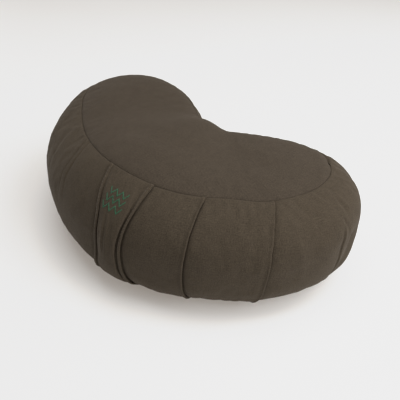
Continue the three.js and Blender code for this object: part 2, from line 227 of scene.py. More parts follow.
def band_table():
    places = (np.arange(TABLE_PLACES) / TABLE_PLACES - 0.5) * SEAM_LENGTH
    plan = plan_on_seam(places)
    n_upper = mix(UPPER_EXPONENT, plan.bayness)
    n_lower = mix(LOWER_EXPONENT, plan.bayness)
    start = np.arccos(plan.top_seam() ** (n_upper / 2))
    end = np.arccos(plan.bottom_seam() ** (n_lower / 2))
    shares = np.linspace(0, 1, TABLE_SHARES)
    points = np.empty((TABLE_PLACES, TABLE_SHARES, 3))
    heights = np.empty(TABLE_PLACES)
    for i in range(TABLE_PLACES):
        one = plan_on_seam(np.full(PROFILE_STEPS, places[i]))
        angle = np.linspace(start[i], -end[i], PROFILE_STEPS)
        exponent = np.where(angle > 0, n_upper[i], n_lower[i])
        across = np.cos(angle) ** (2 / exponent)
        height = np.where(angle > 0, one.upper(across), one.lower(across))
        length = running_length(np.stack([across * plan.half_width[i], height], 1))
        wanted = shares * length[-1]
        reach = np.interp(wanted, length, across * plan.half_width[i])
        points[i, :, :2] = plan.base[i] + plan.out[i] * reach[:, None]
        points[i, :, 2] = np.interp(wanted, length, height)
        heights[i] = length[-1]
    return points, heights


BAND_POINTS, BAND_HEIGHTS = band_table()


def smooth_band(place, share):
    """Points of the smooth band, between those of the table."""
    x = np.mod(place / SEAM_LENGTH + 0.5, 1) * TABLE_PLACES
    y = np.clip(share, 0, 1) * (TABLE_SHARES - 1)
    i = np.floor(x).astype(int)
    j = np.minimum(np.floor(y).astype(int), TABLE_SHARES - 2)
    fx, fy = (x - i)[..., None], (y - j)[..., None]
    i0, i1 = i % TABLE_PLACES, (i + 1) % TABLE_PLACES
    low = BAND_POINTS[i0, j] * (1 - fx) + BAND_POINTS[i1, j] * fx
    high = BAND_POINTS[i0, j + 1] * (1 - fx) + BAND_POINTS[i1, j + 1] * fx
    return low * (1 - fy) + high * fy


def unit(v):
    return v / np.maximum(np.linalg.norm(v, axis=-1, keepdims=True), 1e-12)


FRAME_PLACE_STEP = 1.0
FRAME_SHARE_STEP = 0.008


def band_frame(place, share):
    """Point, outward normal and stretch of the smooth band."""
    side = smooth_band(place + FRAME_PLACE_STEP, share) - smooth_band(place - FRAME_PLACE_STEP, share)
    lower, upper = np.minimum(share + FRAME_SHARE_STEP, 1), np.maximum(share - FRAME_SHARE_STEP, 0)
    normal = unit(np.cross(smooth_band(place, lower) - smooth_band(place, upper), side))
    return smooth_band(place, share), normal, np.linalg.norm(side, axis=-1) / (2 * FRAME_PLACE_STEP)


def band_height(place):
    x = np.mod(np.asarray(place) / SEAM_LENGTH + 0.5, 1) * TABLE_PLACES
    return np.interp(x, np.arange(TABLE_PLACES + 1), np.r_[BAND_HEIGHTS, BAND_HEIGHTS[0]])


# ---- unevenness of the filling ----
SEED = 7
LUMP_HEIGHT = 0.45
GRAIN_HEIGHT = 0.07
rng = np.random.default_rng(SEED)


def waves(count, shortest, longest):
    """Directions, sizes and phases of waves that add up to a soft unevenness."""
    direction = unit(rng.normal(size=(count, 3)))
    length = np.exp(rng.uniform(np.log(shortest), np.log(longest), count))
    return direction * (2 * np.pi / length)[:, None], length / longest, rng.uniform(0, 2 * np.pi, count)


LUMPS = waves(40, 26, 95)
GRAIN = waves(60, 9, 22)


def unevenness(points, kind):
    vectors, sizes, phases = kind
    total = np.zeros(points.shape[:-1])
    for vector, size, phase in zip(vectors, sizes, phases):
        total += size * np.sin(points @ vector + phase)
    return total / np.sqrt((sizes**2).sum() / 2)


# ---- pleats of the band ----
# The strap's edges, as places at these shares of the band's height.
STRAP_SHARES = (0, 0.1, 0.2, 0.3, 0.4, 0.5, 0.62, 0.78, 1)
STRAP_LEFT = (-15.8, -9.2, -2.4, 3.8, 6.2, 6.4, 3.5, -3, -10)
STRAP_RIGHT = (45.6, 42.9, 40.2, 37.3, 35.2, 34.4, 35, 37.5, 41)
# Each pleat's line is places at these shares.
LINE_SHARES = (0, 0.1, 0.19, 0.27, 0.36, 0.46, 0.57, 0.7, 0.85, 1)
# A section across a folded pleat, from its upper side over the fold and under it to the lower
# side: how far along the band and how high it lies, in millimetres.
KNIFE_FOLD = (
    (-20, 0), (-15, 0.05), (-11, 0.15), (-8, 0.2), (-6, 0.25), (-4.6, 0.4), (-3.5, 0.7), (-2.6, 1.2),
    (-1.9, 1.7), (-1.2, 2.05), (-0.5, 2.15), (0.15, 1.95), (0.55, 1.45), (0.6, 0.8), (0.3, 0.1),
    (-0.2, -0.6), (-0.55, -1.3), (-0.55, -1.95), (-0.1, -2.35), (0.6, -2.3), (1.3, -1.8), (2.2, -1.2),
    (3.4, -0.8), (5, -0.5), (8, -0.25), (12, -0.1), (20, 0),
)
# The same, but for a pleat that lies flat on its upper side.
FLAT_KNIFE_FOLD = (
    (-20, 0), (-15, 0.1), (-11, 0.25), (-8, 0.45), (-6, 0.65), (-4.6, 0.85), (-3.5, 1.05), (-2.7, 1.25),
    (-2.0, 1.55), (-1.3, 1.95), (-0.5, 2.15), (0.2, 1.95), (0.6, 1.45), (0.65, 0.8), (0.35, 0.1),
    (-0.1, -0.6), (-0.4, -1.3), (-0.45, -1.95), (-0.1, -2.4), (0.6, -2.4), (1.3, -1.9), (2.2, -1.2),
    (3.4, -0.8), (5, -0.5), (8, -0.25), (12, -0.1), (20, 0),
)
# The groove that the strap's edge presses into the band, from outside the strap to under it.
STRAP_GROOVE = (
    (-9, 0), (-5.5, 0.08), (-3.5, 0.1), (-2.2, 0), (-1.4, -0.35), (-0.9, -0.9), (-0.5, -1.6), (0, -2.1),
    (0.7, -2.1), (1.3, -1.6), (2, -0.9), (3, -0.4), (5, 0),
)
# A pleat pressed flat: a low step down on one side and a shallow groove on the other.
PRESSED_FOLD = (
    (-20, 0), (-15, 0), (-11, -0.05), (-8, -0.25), (-6.2, -0.6), (-5.0, -1.1), (-4.3, -1.25), (-3.7, -0.8),
    (-3.1, 0), (-2.4, 0.35), (-1.2, 0.45), (0, 0.45), (1.2, 0.45), (2.2, 0.4), (2.8, 0.1), (3.3, -0.6),
    (3.7, -1.2), (4.2, -1.25), (5.0, -0.8), (6.4, -0.4), (9, -0.15), (12, -0.05), (15, 0), (20, 0),
)
# A soft fold: a low ridge and a shallow valley.
SOFT_FOLD = (
    (-20, 0), (-15, 0.1), (-11, 0.3), (-8, 0.6), (-5.5, 0.95), (-3.5, 1.2), (-2, 1.2), (-0.8, 0.8),
    (0, 0.1), (0.7, -0.7), (1.6, -1.25), (2.8, -1.4), (4.5, -1.2), (7, -0.75), (10, -0.35), (14, -0.1),
    (20, 0),
)
LEFT_LINE = smooth_curve(np.array(LINE_SHARES), STRAP_SHARES, STRAP_LEFT)
RIGHT_LINE = smooth_curve(np.array(LINE_SHARES), STRAP_SHARES, STRAP_RIGHT)
# line is the pleat's places, and side is 1 where its section runs on to the right. top and bottom are the
# shares where it starts and stops, 0 and 1 at the seams, and fade is how far it dies away. slack is how
# much shallower its upper half is.
Pleat = namedtuple("Pleat", "line fold side size top bottom fade slack", defaults=[0])
PLEATS = (
    Pleat(
        (-174, -159, -149.5, -137.5, -130, -126, -123, -121, -120, -119),
        SOFT_FOLD, -1, 0.7, 0.02, 0.7, 0.3,
    ),
    Pleat((-122, -116, -108, -101, -98, -96, -95, -94, -93, -93), SOFT_FOLD, -1, 0.4, 0, 0.6, 0.3),
    Pleat((-78, -67.3, -61.7, -59.3, -55, -52.5, -52.5, -53, -54, -55), PRESSED_FOLD, -1, 0.75, 0, 0.5, 0.34),
    Pleat(LEFT_LINE, STRAP_GROOVE, 1, 0.6, 0, 1, 0.1),
    Pleat(RIGHT_LINE, STRAP_GROOVE, -1, 0.55, 0, 1, 0.1),
    Pleat((101, 97, 94.5, 92.6, 91.4, 90.2, 89.6, 90.6, 92.5, 96), KNIFE_FOLD, 1, 1.0, 0, 1, 0.08),
    Pleat(
        (173.5, 165.5, 160.5, 158, 156, 155.2, 154.5, 154, 153, 152),
        FLAT_KNIFE_FOLD, 1, 1.15, 0, 1, 0.08, 0.5,
    ),
    Pleat(
        (216, 215.8, 215.6, 214.6, 210.6, 209.4, 210.2, 211.2, 212, 213),
        KNIFE_FOLD, -1, 0.34, 0.27, 0.97, 0.2,
    ),
)
# A pleat's mesh columns lie at its line's place at this entry, about mid-height.
ANCHOR = 5
# What is left of a pleat where it is sewn into the top and the bottom seam, how far below the top
# seam it is whole, how far a pleat takes to rise out of the cloth, and where a slack one tightens.
SEWN_TOP, SEWN_BOTTOM = 0.5, 0.6
TOP_REACH = 0.08
RISE_REACH = 0.14
SLACK_END, SLACK_REACH = 0.25, 0.3
# How far along the band the mesh leans with a pleat.
LINE_REACH = 24.0


def pleat_strength(pleat, share):
    if pleat.top == 0:
        begun = SEWN_TOP + (1 - SEWN_TOP) * step01(share / TOP_REACH)
    else:
        begun = step01((share - pleat.top) / RISE_REACH)
    if pleat.bottom == 1:
        left = SEWN_BOTTOM + (1 - SEWN_BOTTOM) * step01((1 - share) / pleat.fade)
    else:
        left = step01((pleat.bottom - share) / pleat.fade)
    tight = 1 - pleat.slack * (1 - step01((share - SLACK_END) / SLACK_REACH))
    return pleat.size * tight * begun * left


# Columns of the band's mesh, as places along its widest line: each pleat brings its own, across its
# fold, and the rest are evenly spread.
COLUMN_SPACING = 1.75
# A fold's columns are spread this much more evenly than its section, at least this far apart.
EVENNESS = 0.35
LEAST_STEP = 0.02


def band_columns():
    """Column places, and for each the pleat it belongs to (or -1) and its two section values."""
    columns = []
    taken = []
    for k, pleat in enumerate(PLEATS):
        fold = np.array(pleat.fold, float)
        fold[:, 0] *= pleat.side
        if pleat.side < 0:
            fold = fold[::-1]
        even = np.linspace(fold[0, 0], fold[-1, 0], len(fold))
        spread = np.maximum.accumulate(fold[:, 0] + LEAST_STEP * np.arange(len(fold)))
        even = EVENNESS * even + (1 - EVENNESS) * spread
        middle = wide_of_place(pleat.line[ANCHOR])
        for (along, high), flat in zip(fold, even):
            columns.append((middle + flat, k, along - flat, high))
        taken.append((middle + even[0], middle + even[-1]))
    taken.sort()
    gaps = [(taken[i][1], taken[i + 1][0]) for i in range(len(taken) - 1)]
    gaps.append((taken[-1][1], taken[0][0] + WIDE_LENGTH))
    for low, high in gaps:
        steps = max(2, int(round((high - low) / COLUMN_SPACING)))
        for t in np.linspace(low, high, steps + 1)[1:-1]:
            columns.append((t, -1, 0.0, 0.0))
    columns.sort()
    return np.array(columns)


COLUMNS = band_columns()
COLUMN_WIDE = COLUMNS[:, 0]
COLUMN_PLACES = place_of_wide(COLUMN_WIDE)

# Rows of the band's mesh, closer together at the seams.
BAND_ROW_COUNT = 97
EVEN_ROWS = np.linspace(0, 1, BAND_ROW_COUNT)
SEAM_CLOSENESS = 0.72
ROWS = EVEN_ROWS - SEAM_CLOSENESS * np.sin(2 * np.pi * EVEN_ROWS) / (2 * np.pi)
PLEAT_ANCHORS = np.array([pleat.line[ANCHOR] for pleat in PLEATS])


def nearness(place):
    """How much of each pleat's lean every place takes."""
    away = from_front(place[..., None] - PLEAT_ANCHORS)
    return np.exp(-((away / LINE_REACH) ** 2))


def pleat_leans(share):
    """The leans that together bring every pleat to its own line."""
    lines = np.stack([np.interp(share, LINE_SHARES, pleat.line) for pleat in PLEATS], -1)
    return (lines - PLEAT_ANCHORS) @ np.linalg.inv(nearness(PLEAT_ANCHORS)).T


def lines_at(place, share):
    """Where points at these places at mid-height go, as the pleats lean."""
    place = np.array(place, float)
    return place + np.sum(nearness(place) * pleat_leans(share), -1)


# ---- seams ----
# The cloth sinks gently towards a seam, and rolls down into it at the last: depths and reaches.
SEAM_DIP = (0.3, 4.5)
SEAM_ROLL = (1.3, 0.75)
# The gap between a panel's edge and the band, and how much wider it is as a seam pulls tighter than
# LOOSE_SEAM.
EDGE_GAP = (0.32, 0.4)
LOOSE_SEAM = 0.4
# How steep the band is where it begins to sink straight down at a seam, and how much steeper where
# it only does that.
STEEP = (0.45, 0.2)
PLAIN_TIGHTNESS = 0.8
# How deep the seam sits, by place: pulled tighter in some parts than in others.
SEAM_PLACES = (
    -459, -430, -300, -230, -165, -120, -88, -80, 0, 60, 92, 100, 150, 170, 178, 200, 212, 228, 240, 279,
    286, 312, 320, 400, 430, 458,
)
SEAM_TIGHTNESS = (
    0.15, 0.3, 0.5, 0.5, 0.95, 1.0, 0.7, 1.1, 1.3, 1.3, 1.3, 0.95, 1.0, 1.1, 0.7, 0.7, 1.2, 1.1, 0.3, 0.25,
    2.2, 2.2, 0.7, 0.5, 0.3, 0.15,
)
PUCKER_HEIGHT = 0.12
PUCKER_REACH = 9.0
PUCKER_CLEAR = 2.5
PUCKER_COUNT = 14
PUCKERS = (rng.uniform(7, 17, PUCKER_COUNT), rng.uniform(0, 2 * np.pi, PUCKER_COUNT))


def seam_tightness(place):
    return np.interp(from_front(place), SEAM_PLACES, SEAM_TIGHTNESS)


def seam_dip(distance, tightness=PLAIN_TIGHTNESS):
    dip = SEAM_DIP[0] * np.exp(-((distance / SEAM_DIP[1]) ** 2))
    return tightness * (dip + SEAM_ROLL[0] * np.exp(-np.maximum(distance, 0) / SEAM_ROLL[1]))


def pucker(place, distance):
    """Small gathers beside a seam."""
    total = sum(np.sin(2 * np.pi * place / length + phase) for length, phase in zip(*PUCKERS))
    near = np.exp(-distance / PUCKER_REACH) * step01(distance / PUCKER_CLEAR)
    return PUCKER_HEIGHT * (total / np.sqrt(PUCKER_COUNT / 2)) * near


# ---- dents and creases seen in the photograph ----
# Each is a path of place and share pairs, how far it stands out, and how wide it is.
CREASES = (
    (((174.5, 0.33), (175.5, 0.44), (176.5, 0.6)), 0.9, 6.0),
    (((185, 0.36), (186, 0.6)), -0.5, 7.0),
    (((236.5, 0.052), (243.7, 0.066), (251, 0.08)), -1.1, 2.4),
    (((236, 0.075), (246, 0.1)), 0.6, 3.5),
    (((226.5, 0.125), (223.5, 0.179), (222.5, 0.22)), -0.9, 2.2),
    (((229.5, 0.13), (227, 0.2)), 0.45, 2.8),
    (((214.5, 0.26), (216.2, 0.33), (216.4, 0.4), (215.3, 0.46)), -1.0, 1.8),
    (((212.3, 0.33), (212.6, 0.45)), 0.5, 2.0),
    (((291, 0.004), (302, 0.012), (313, 0.002)), -2.0, 2.2),
    (((226, 0.46), (222, 0.6), (218, 0.76)), -4.2, 11.0),
    (((140, 0.04), (139, 0.2)), 0.25, 3.0),
    (((151, 0.02), (149, 0.22)), -0.35, 2.0),
    (((156, 0.02), (153, 0.24)), 0.35, 1.8),
    (((161, 0.02), (157, 0.22)), -0.4, 1.6),
    (((166, 0.02), (161, 0.2)), 0.3, 1.6),
    (((152, 0.2), (153, 0.33)), 0.6, 3.0),
    (((147, 0.29), (146.5, 0.36), (147.5, 0.45)), -0.8, 3.0),
    (((151.5, 0.4), (150, 0.65)), 0.4, 4.0),
    (((-6, 0.7), (0, 0.86)), -0.6, 5.0),
    (((60, 0.6), (66, 0.85)), 0.4, 9.0),
)


def crease_relief(points):
    total = np.zeros(points.shape[:-1])
    for path, height, width in CREASES:
        line = smooth_band(*np.array(path, float).T)
        nearest = np.full(points.shape[:-1], 1e9)
        for a, b in zip(line[:-1], line[1:]):
            t = np.clip(((points - a) @ (b - a)) / ((b - a) @ (b - a)), 0, 1)
            nearest = np.minimum(nearest, np.linalg.norm(points - a - t[..., None] * (b - a), axis=-1))
        total += height * np.exp(-((nearest / width) ** 2))
    return total


# ---- meshes ----
def make_mesh(name, points, faces, uv=None):
    """A smooth mesh object from points in millimetres, quads or triangles and uv by corner."""
    mesh = bpy.data.meshes.new(name)
    mesh.from_pydata((np.asarray(points) * MM).tolist(), [], [tuple(map(int, face)) for face in faces])
    mesh.polygons.foreach_set("use_smooth", [True] * len(mesh.polygons))
    if uv is not None:
        mesh.uv_layers.new(name="cloth").data.foreach_set("uv", np.asarray(uv, np.float32).ravel())
    mesh.validate()
    made = bpy.data.objects.new(name, mesh)
    bpy.context.scene.collection.objects.link(made)
    return made


def ring_faces(rings, count):
    """Quads between rings of count points each, ring after ring, facing out."""
    i = np.arange(rings - 1)[:, None] * count
    j = np.arange(count)[None, :]
    a = i + j
    b = i + (j + 1) % count
    return np.stack([a, b, b + count, a + count], -1).reshape(-1, 4)


def ladder(points, start, count):
    """Triangles across a narrow ring of points, from its outer curve to its bay side."""
    xs = points[start : start + count, 0]
    left, right = int(xs.argmin()), int(xs.argmax())
    faces = []
    front = bay = left
    while front != right or bay != right:
        next_front, next_bay = (front + 1) % count, (bay - 1) % count
        if bay == right or (front != right and xs[next_front] < xs[next_bay]):
            if next_front != bay:
                faces.append((front, next_front, bay))
            front = next_front
        else:
            if next_bay != front:
                faces.append((front, next_bay, bay))
            bay = next_bay
    return np.array(faces) + start


UV_MM = 100.0
# Two corners of a face this far apart in uv lie on either side of the last column.
UV_JUMP = 5


def closed_rings(name, rings, ring_uvs):
    """A closed piece from rings of points, from the underside up, with the narrow first and last
    rings closed across. ring_uvs holds a pair of millimetres for each point."""
    count = rings[0].shape[0]
    points = np.concatenate(rings)
    uv = np.concatenate(ring_uvs) / UV_MM
    quads = ring_faces(len(rings), count)
    low = ladder(points, 0, count)[:, ::-1]
    high = ladder(points, (len(rings) - 1) * count, count)
    corner_uv = uv[quads].copy()
    wrap = np.arange(len(quads)) % count == count - 1
    for corner in (1, 2):
        # Along the band the cloth's own length runs on past the last column.
        jump = corner_uv[wrap, 0, 0] - corner_uv[wrap, corner, 0]
        corner_uv[wrap, corner, 0] += np.where(np.abs(jump) > UV_JUMP, np.sign(jump) * WIDE_LENGTH / UV_MM, 0)
    faces = [*quads, *low, *high]
    flat_uv = np.concatenate([corner_uv.reshape(-1, 2), uv[low].reshape(-1, 2), uv[high].reshape(-1, 2)])
    return make_mesh(name, points, faces, flat_uv)


# ---- where the filled cloth settles ----
# The settling cover: columns round it, steps down the band and across a panel, how many of those the
# cover takes in, and about how long they are.
SETTLE_COLUMNS = 220
BAND_STEPS = 38
PANEL_STEPS = 30
PANEL_REACH = 24
BAND_STEP_MM = 5.3
PANEL_STEP_MM = 3.5
SETTLE_FRAMES = 20
SETTLE_SHRUNK = 0.988
# A pleat's hold on the cover, how far it reaches, and the number of levels it is given in.
PLEAT_HOLD = 0.85
PLEAT_HOLD_REACH = 4.0
HOLD_LEVELS = 20
# Swells longer than about this are left out, and the rest is lowered and capped.
SETTLE_LONGEST = 26.0
SETTLE_SHARE = 0.7
SETTLE_CAP = 1.6
CLOTH_SETTINGS = {
    "quality": 5, "mass": 0.3, "tension_stiffness": 15, "compression_stiffness": 15, "shear_stiffness": 6,
    "bending_stiffness": 0.35, "use_pressure": True, "uniform_pressure_force": 4, "shrink_min": -0.02,
    "vertex_group_mass": "held", "pin_stiffness": 1,
}
# Where the filling holds the cloth smooth, the wrinkles are lower: places, and what is left there.
CALM_PLACES = (-459, -100, -75, -50, -20, 55, 90, 185, 205, 262, 290, 459)
CALM_SHARES = (1, 1, 0.6, 0.3, 0.35, 0.5, 0.8, 0.8, 0.5, 0.5, 1, 1)
SETTLED = {}


def cubic_weights(t):
    return (
        -0.5 * t + t * t - 0.5 * t**3,
        1 - 2.5 * t * t + 1.5 * t**3,
        0.5 * t + 2 * t * t - 1.5 * t**3,
        -0.5 * t * t + 0.5 * t**3,
    )


def settled(place, step, part):
    """How far the simulation moved the cloth out here, in millimetres, once it has run."""
    if part not in SETTLED:
        return 0.0
    grid = SETTLED[part]
    row = np.clip(step, 0, len(grid) - 1) + np.zeros_like(place)
    column = np.mod(wide_of_place(place) / WIDE_LENGTH, 1) * SETTLE_COLUMNS
    i, j = np.floor(row).astype(int), np.floor(column).astype(int)
    a, b = cubic_weights(row - i), cubic_weights(column - j)
    total = 0
    for k in range(4):
        r = np.clip(i + k - 1, 0, len(grid) - 1)
        for m in range(4):
            total = total + a[k] * b[m] * grid[r, (j + m - 1) % SETTLE_COLUMNS]
    return total * np.interp(from_front(place), CALM_PLACES, CALM_SHARES)


def without_long_waves(grid, row_mm, column_mm):
    """What is left of a grid's values when its long swells are taken out."""
    mirrored = np.concatenate([grid, grid[::-1]])
    rows = np.fft.fftfreq(len(mirrored), row_mm)[:, None]
    columns = np.fft.fftfreq(grid.shape[1], column_mm)[None, :]
    keep = 1 - np.exp(-(rows**2 + columns**2) * SETTLE_LONGEST**2 * 2)
    return np.real(np.fft.ifft2(np.fft.fft2(mirrored) * keep))[: len(grid)]


def settle():
    """Blow the cover up a little in a cloth simulation, held at its seams, flat base and pleats,
    and keep how its cloth wrinkles."""
    places = place_of_wide(np.arange(SETTLE_COLUMNS) / SETTLE_COLUMNS * WIDE_LENGTH)
    shares = np.linspace(0, 1, BAND_STEPS + 1)
    panel_rows_out = 1 - np.arange(1, PANEL_REACH + 1) / PANEL_STEPS
    under = [panel_skin(places, row, False) for row in panel_rows_out[::-1]]
    over = [panel_skin(places, row, True) for row in panel_rows_out]
    band = [band_frame(places, share + np.zeros(SETTLE_COLUMNS))[0] for share in shares]
    rings = under + band[::-1] + over
    flat = [np.zeros((SETTLE_COLUMNS, 2))] * len(rings)
    cover = closed_rings("settling_cover", rings, flat)
    start = np.concatenate(rings)
    centre = np.array([0.0, 0.0, TOTAL_HEIGHT / 2])
    shrunk = centre + (start - centre) * SETTLE_SHRUNK
    cover.data.vertices.foreach_set("co", (shrunk * MM).astype(np.float32).ravel())
    held = [np.ones(SETTLE_COLUMNS)] * len(under)
    for share in shares[::-1]:
        grip = np.zeros(SETTLE_COLUMNS)
        for pleat in PLEATS:
            away = from_front(places - np.interp(share, LINE_SHARES, pleat.line)) / PLEAT_HOLD_REACH
            grip = np.maximum(grip, PLEAT_HOLD * min(1, pleat_strength(pleat, share)) * np.exp(-(away**2)))
        held.append(np.ones(SETTLE_COLUMNS) if share in (0, 1) else grip)
    held += [np.zeros(SETTLE_COLUMNS)] * len(over)
    group = cover.vertex_groups.new(name="held")
    weights = np.round(np.concatenate(held) * HOLD_LEVELS) / HOLD_LEVELS
    for level in np.unique(weights[weights > 0]):
        group.add(np.nonzero(weights == level)[0].tolist(), float(level), "REPLACE")
    cloth = cover.modifiers.new("settle", "CLOTH")
    for setting, value in CLOTH_SETTINGS.items():
        setattr(cloth.settings, setting, value)
    cloth.settings.effector_weights.gravity = 0
    cloth.collision_settings.use_collision = False
    cloth.collision_settings.use_self_collision = False
    cloth.point_cache.frame_start = 1
    cloth.point_cache.frame_end = SETTLE_FRAMES
    for number in range(1, SETTLE_FRAMES + 1):
        bpy.context.scene.frame_set(number)
    shown = cover.evaluated_get(bpy.context.evaluated_depsgraph_get()).to_mesh()
    ended = np.empty(len(start) * 3, dtype=np.float32)
    shown.vertices.foreach_get("co", ended)
    bpy.context.scene.frame_set(1)
    mesh = cover.data
    bpy.data.objects.remove(cover)
    bpy.data.meshes.remove(mesh)
    moved = (ended.reshape(-1, 3) / MM - shrunk).reshape(len(rings), SETTLE_COLUMNS, 3)
    grid = shrunk.reshape(len(rings), SETTLE_COLUMNS, 3)
    along = np.roll(grid, -1, 1) - np.roll(grid, 1, 1)
    up = np.gradient(grid, axis=0)
    out = (moved * unit(np.cross(along, up))).sum(-1)
    first, last = len(under), len(under) + len(band)
    parts = {"band": (out[first:last][::-1], BAND_STEP_MM), "top": (out[last - 1 :], PANEL_STEP_MM)}
    for part, (values, step) in parts.items():
        values = without_long_waves(values, step, WIDE_LENGTH / SETTLE_COLUMNS) * SETTLE_SHARE
        SETTLED[part] = SETTLE_CAP * np.tanh(values / SETTLE_CAP)


# ---- panels ----
# How thick a panel's cloth is, and how far below its skin the body lies under it.
CLOTH = 1.6
STEP_DEPTH = 2.3
PANEL_GRAIN_TURN = math.radians(12)
PANEL_COLUMNS = 480
PANEL_EDGE_BULGE = 0.12
# Rows of a panel's mesh, as shares of the way out to its seam, from the edge inwards: closer together
# at the edge, and the last a little short of the middle line.
PANEL_ROW_COUNT = 44
PANEL_ROW_GROWTH = 1.5
PANEL_ROW_REACH = 0.97
PANEL_ROWS = 1 - PANEL_ROW_REACH * np.linspace(0, 1, PANEL_ROW_COUNT) ** PANEL_ROW_GROWTH
# A panel's slope is taken over this share of the way.
SLOPE_STEP = 0.03
# How much of the unevenness and of the wrinkles the top panel takes, how far from its seam and from
# its middle line the wrinkles are whole.
PANEL_LUMPS = 0.8
PANEL_WRINKLES = 0.6
WRINKLE_REACH = 7
WRINKLE_MIDDLE = (0.3, 0.4)


def panel_skin(place, row, top, lift=0.0, margin=0.0):
    """Points of a panel's skin at a share of the way out to its seam."""
    plan = plan_on_seam(place)
    edge = plan.top_seam() if top else plan.bottom_seam()
    sign = 1 if top else -1
    height_of = plan.upper if top else plan.lower
    from_edge = edge * plan.half_width * (1 - row)
    tight = seam_tightness(place) if top else PLAIN_TIGHTNESS
    height = height_of(edge * row) - sign * seam_dip(from_edge, tight)
    inner_dip = seam_dip(edge * plan.half_width * (1 + SLOPE_STEP - row), tight)
    inner = height_of(edge * (row - SLOPE_STEP)) - sign * inner_dip
    slant = np.hypot(1, (height - inner) / (edge * plan.half_width * SLOPE_STEP))
    flat = plan.offset(edge * row + margin / plan.half_width)
    points = np.concatenate([flat, height[..., None]], -1)
    if top:
        points[..., 2] += LUMP_HEIGHT * unevenness(points, LUMPS) * PANEL_LUMPS + pucker(place, from_edge)
        points[..., 2] += GRAIN_HEIGHT * unevenness(points, GRAIN)
        wrinkles = settled(place, (1 - row) * PANEL_STEPS, "top") * PANEL_WRINKLES
        from_middle = step01((row - WRINKLE_MIDDLE[0]) / WRINKLE_MIDDLE[1])
        points[..., 2] += wrinkles * step01(from_edge / WRINKLE_REACH) * from_middle
    points[..., 2] += lift * slant
    return points


def turned_uv(points, angle):
    c, s = math.cos(angle), math.sin(angle)
    return points[:, :2] @ np.array([[c, s], [-s, c]])


def make_panel(name, top):
    wide = np.linspace(0, WIDE_LENGTH, PANEL_COLUMNS + 1)[:-1] - WIDE_LENGTH / 2
    places = lines_at(place_of_wide(wide), 0.0 if top else 1.0)
    sign = 1 if top else -1
    outer = [panel_skin(places, row, top) for row in PANEL_ROWS]
    inner = [panel_skin(places, row, top, -sign * CLOTH) for row in PANEL_ROWS]
    edge = panel_skin(places, PANEL_ROWS[0], top, -sign * CLOTH / 2, PANEL_EDGE_BULGE)
    rings = inner[::-1] + [edge] + outer if top else outer[::-1] + [edge] + inner
    angle = PANEL_GRAIN_TURN if top else -PANEL_GRAIN_TURN
    return closed_rings(name, rings, [turned_uv(ring, angle) for ring in rings])


# ---- the filled body, whose skin is the band ----
LUMP_REACH = 12
# The bottom seam's puckers are the top's from this much further along.
PUCKER_SHIFT = 400
# Rows of the body under a panel, as shares of the way out to its seam.
SUNK_ROWS = (1, 0.94, 0.6, 0.3, 0.05)


def band_skin():
    """(rows, columns, 3) points of the pleated band, top row first."""
    place = COLUMN_PLACES[None, :] + np.zeros((len(ROWS), 1))
    share = ROWS[:, None] + np.zeros((1, len(COLUMN_PLACES)))
    at = lines_at(place, share)
    high = np.zeros_like(place)
    for k, pleat in enumerate(PLEATS):
        mine = COLUMNS[:, 1] == k
        strength = pleat_strength(pleat, share[:, mine])
        stretch = band_frame(at[:, mine], share[:, mine])[2]
        at[:, mine] += strength * COLUMNS[mine, 2] / stretch
        high[:, mine] += strength * COLUMNS[mine, 3]
    points, normal, _ = band_frame(at, share)
    height = band_height(at)
    from_top, from_bottom = share * height, (1 - share) * height
    high += crease_relief(points)
    from_seam = np.minimum(from_top, from_bottom)
    high += LUMP_HEIGHT * unevenness(points, LUMPS) * step01(from_seam / LUMP_REACH)
    high += GRAIN_HEIGHT * unevenness(points, GRAIN)
    high += pucker(at, from_top) + pucker(at + PUCKER_SHIFT, from_bottom)
    high += settled(at, share * BAND_STEPS, "band") * step01(from_seam / WRINKLE_REACH)
    # Where the band is steep at a seam it sinks straight down, clear of the panel's edge.
    steep = step01((np.hypot(normal[..., 0], normal[..., 1]) - STEEP[0]) / STEEP[1])[..., None]
    sink = normal * np.concatenate([1 - steep, 1 - steep, np.ones_like(steep)], -1)
    dip = seam_dip(from_top, seam_tightness(at)) + seam_dip(from_bottom)
    return points + normal * high[..., None] - sink * dip[..., None]


def make_body():
    skin = band_skin()
    top, bottom = lines_at(COLUMN_PLACES, 0.0), lines_at(COLUMN_PLACES, 1.0)
    gap = EDGE_GAP[0]
    under = [panel_skin(bottom, row, False, STEP_DEPTH) for row in SUNK_ROWS[::-1]]
    under += [panel_skin(bottom, 1, False, depth, gap) for depth in (STEP_DEPTH, 0)]
    gap = gap + EDGE_GAP[1] * np.maximum(seam_tightness(top) - LOOSE_SEAM, 0)
    over = [panel_skin(top, 1, True, -depth, gap) for depth in (0, STEP_DEPTH)]
    over += [panel_skin(top, row, True, -STEP_DEPTH) for row in SUNK_ROWS]
    rings = under + list(skin[1:-1][::-1]) + over
    rows = [1.0] * len(under) + list(ROWS[1:-1][::-1]) + [0.0] * len(over)
    height = band_height(COLUMN_PLACES)
    return closed_rings("side_band_cloth", rings, [np.stack([COLUMN_WIDE, -row * height], 1) for row in rows])


# ---- the strap ----
# How far the middle stands out, how much the lengthwise folds are folded, and how wide the hems are.
STRAP_BULGE = (0.4, 1.4, 3.4, 5.2, 6.2, 6.2, 5.0, 2.8, 0.8)
STRAP_FOLDED = (0.0, 0.25, 0.8, 1, 1, 1, 0.9, 0.6, 0.1)
LEFT_HEM = (0.85, 0.8, 0.86, 0.93, 0.98, 1.0, 1.0, 1.0, 1.1)
RIGHT_HEM = (1.2, 1.15, 0.74, 0.66, 0.72, 0.8, 0.85, 0.95, 1.1)
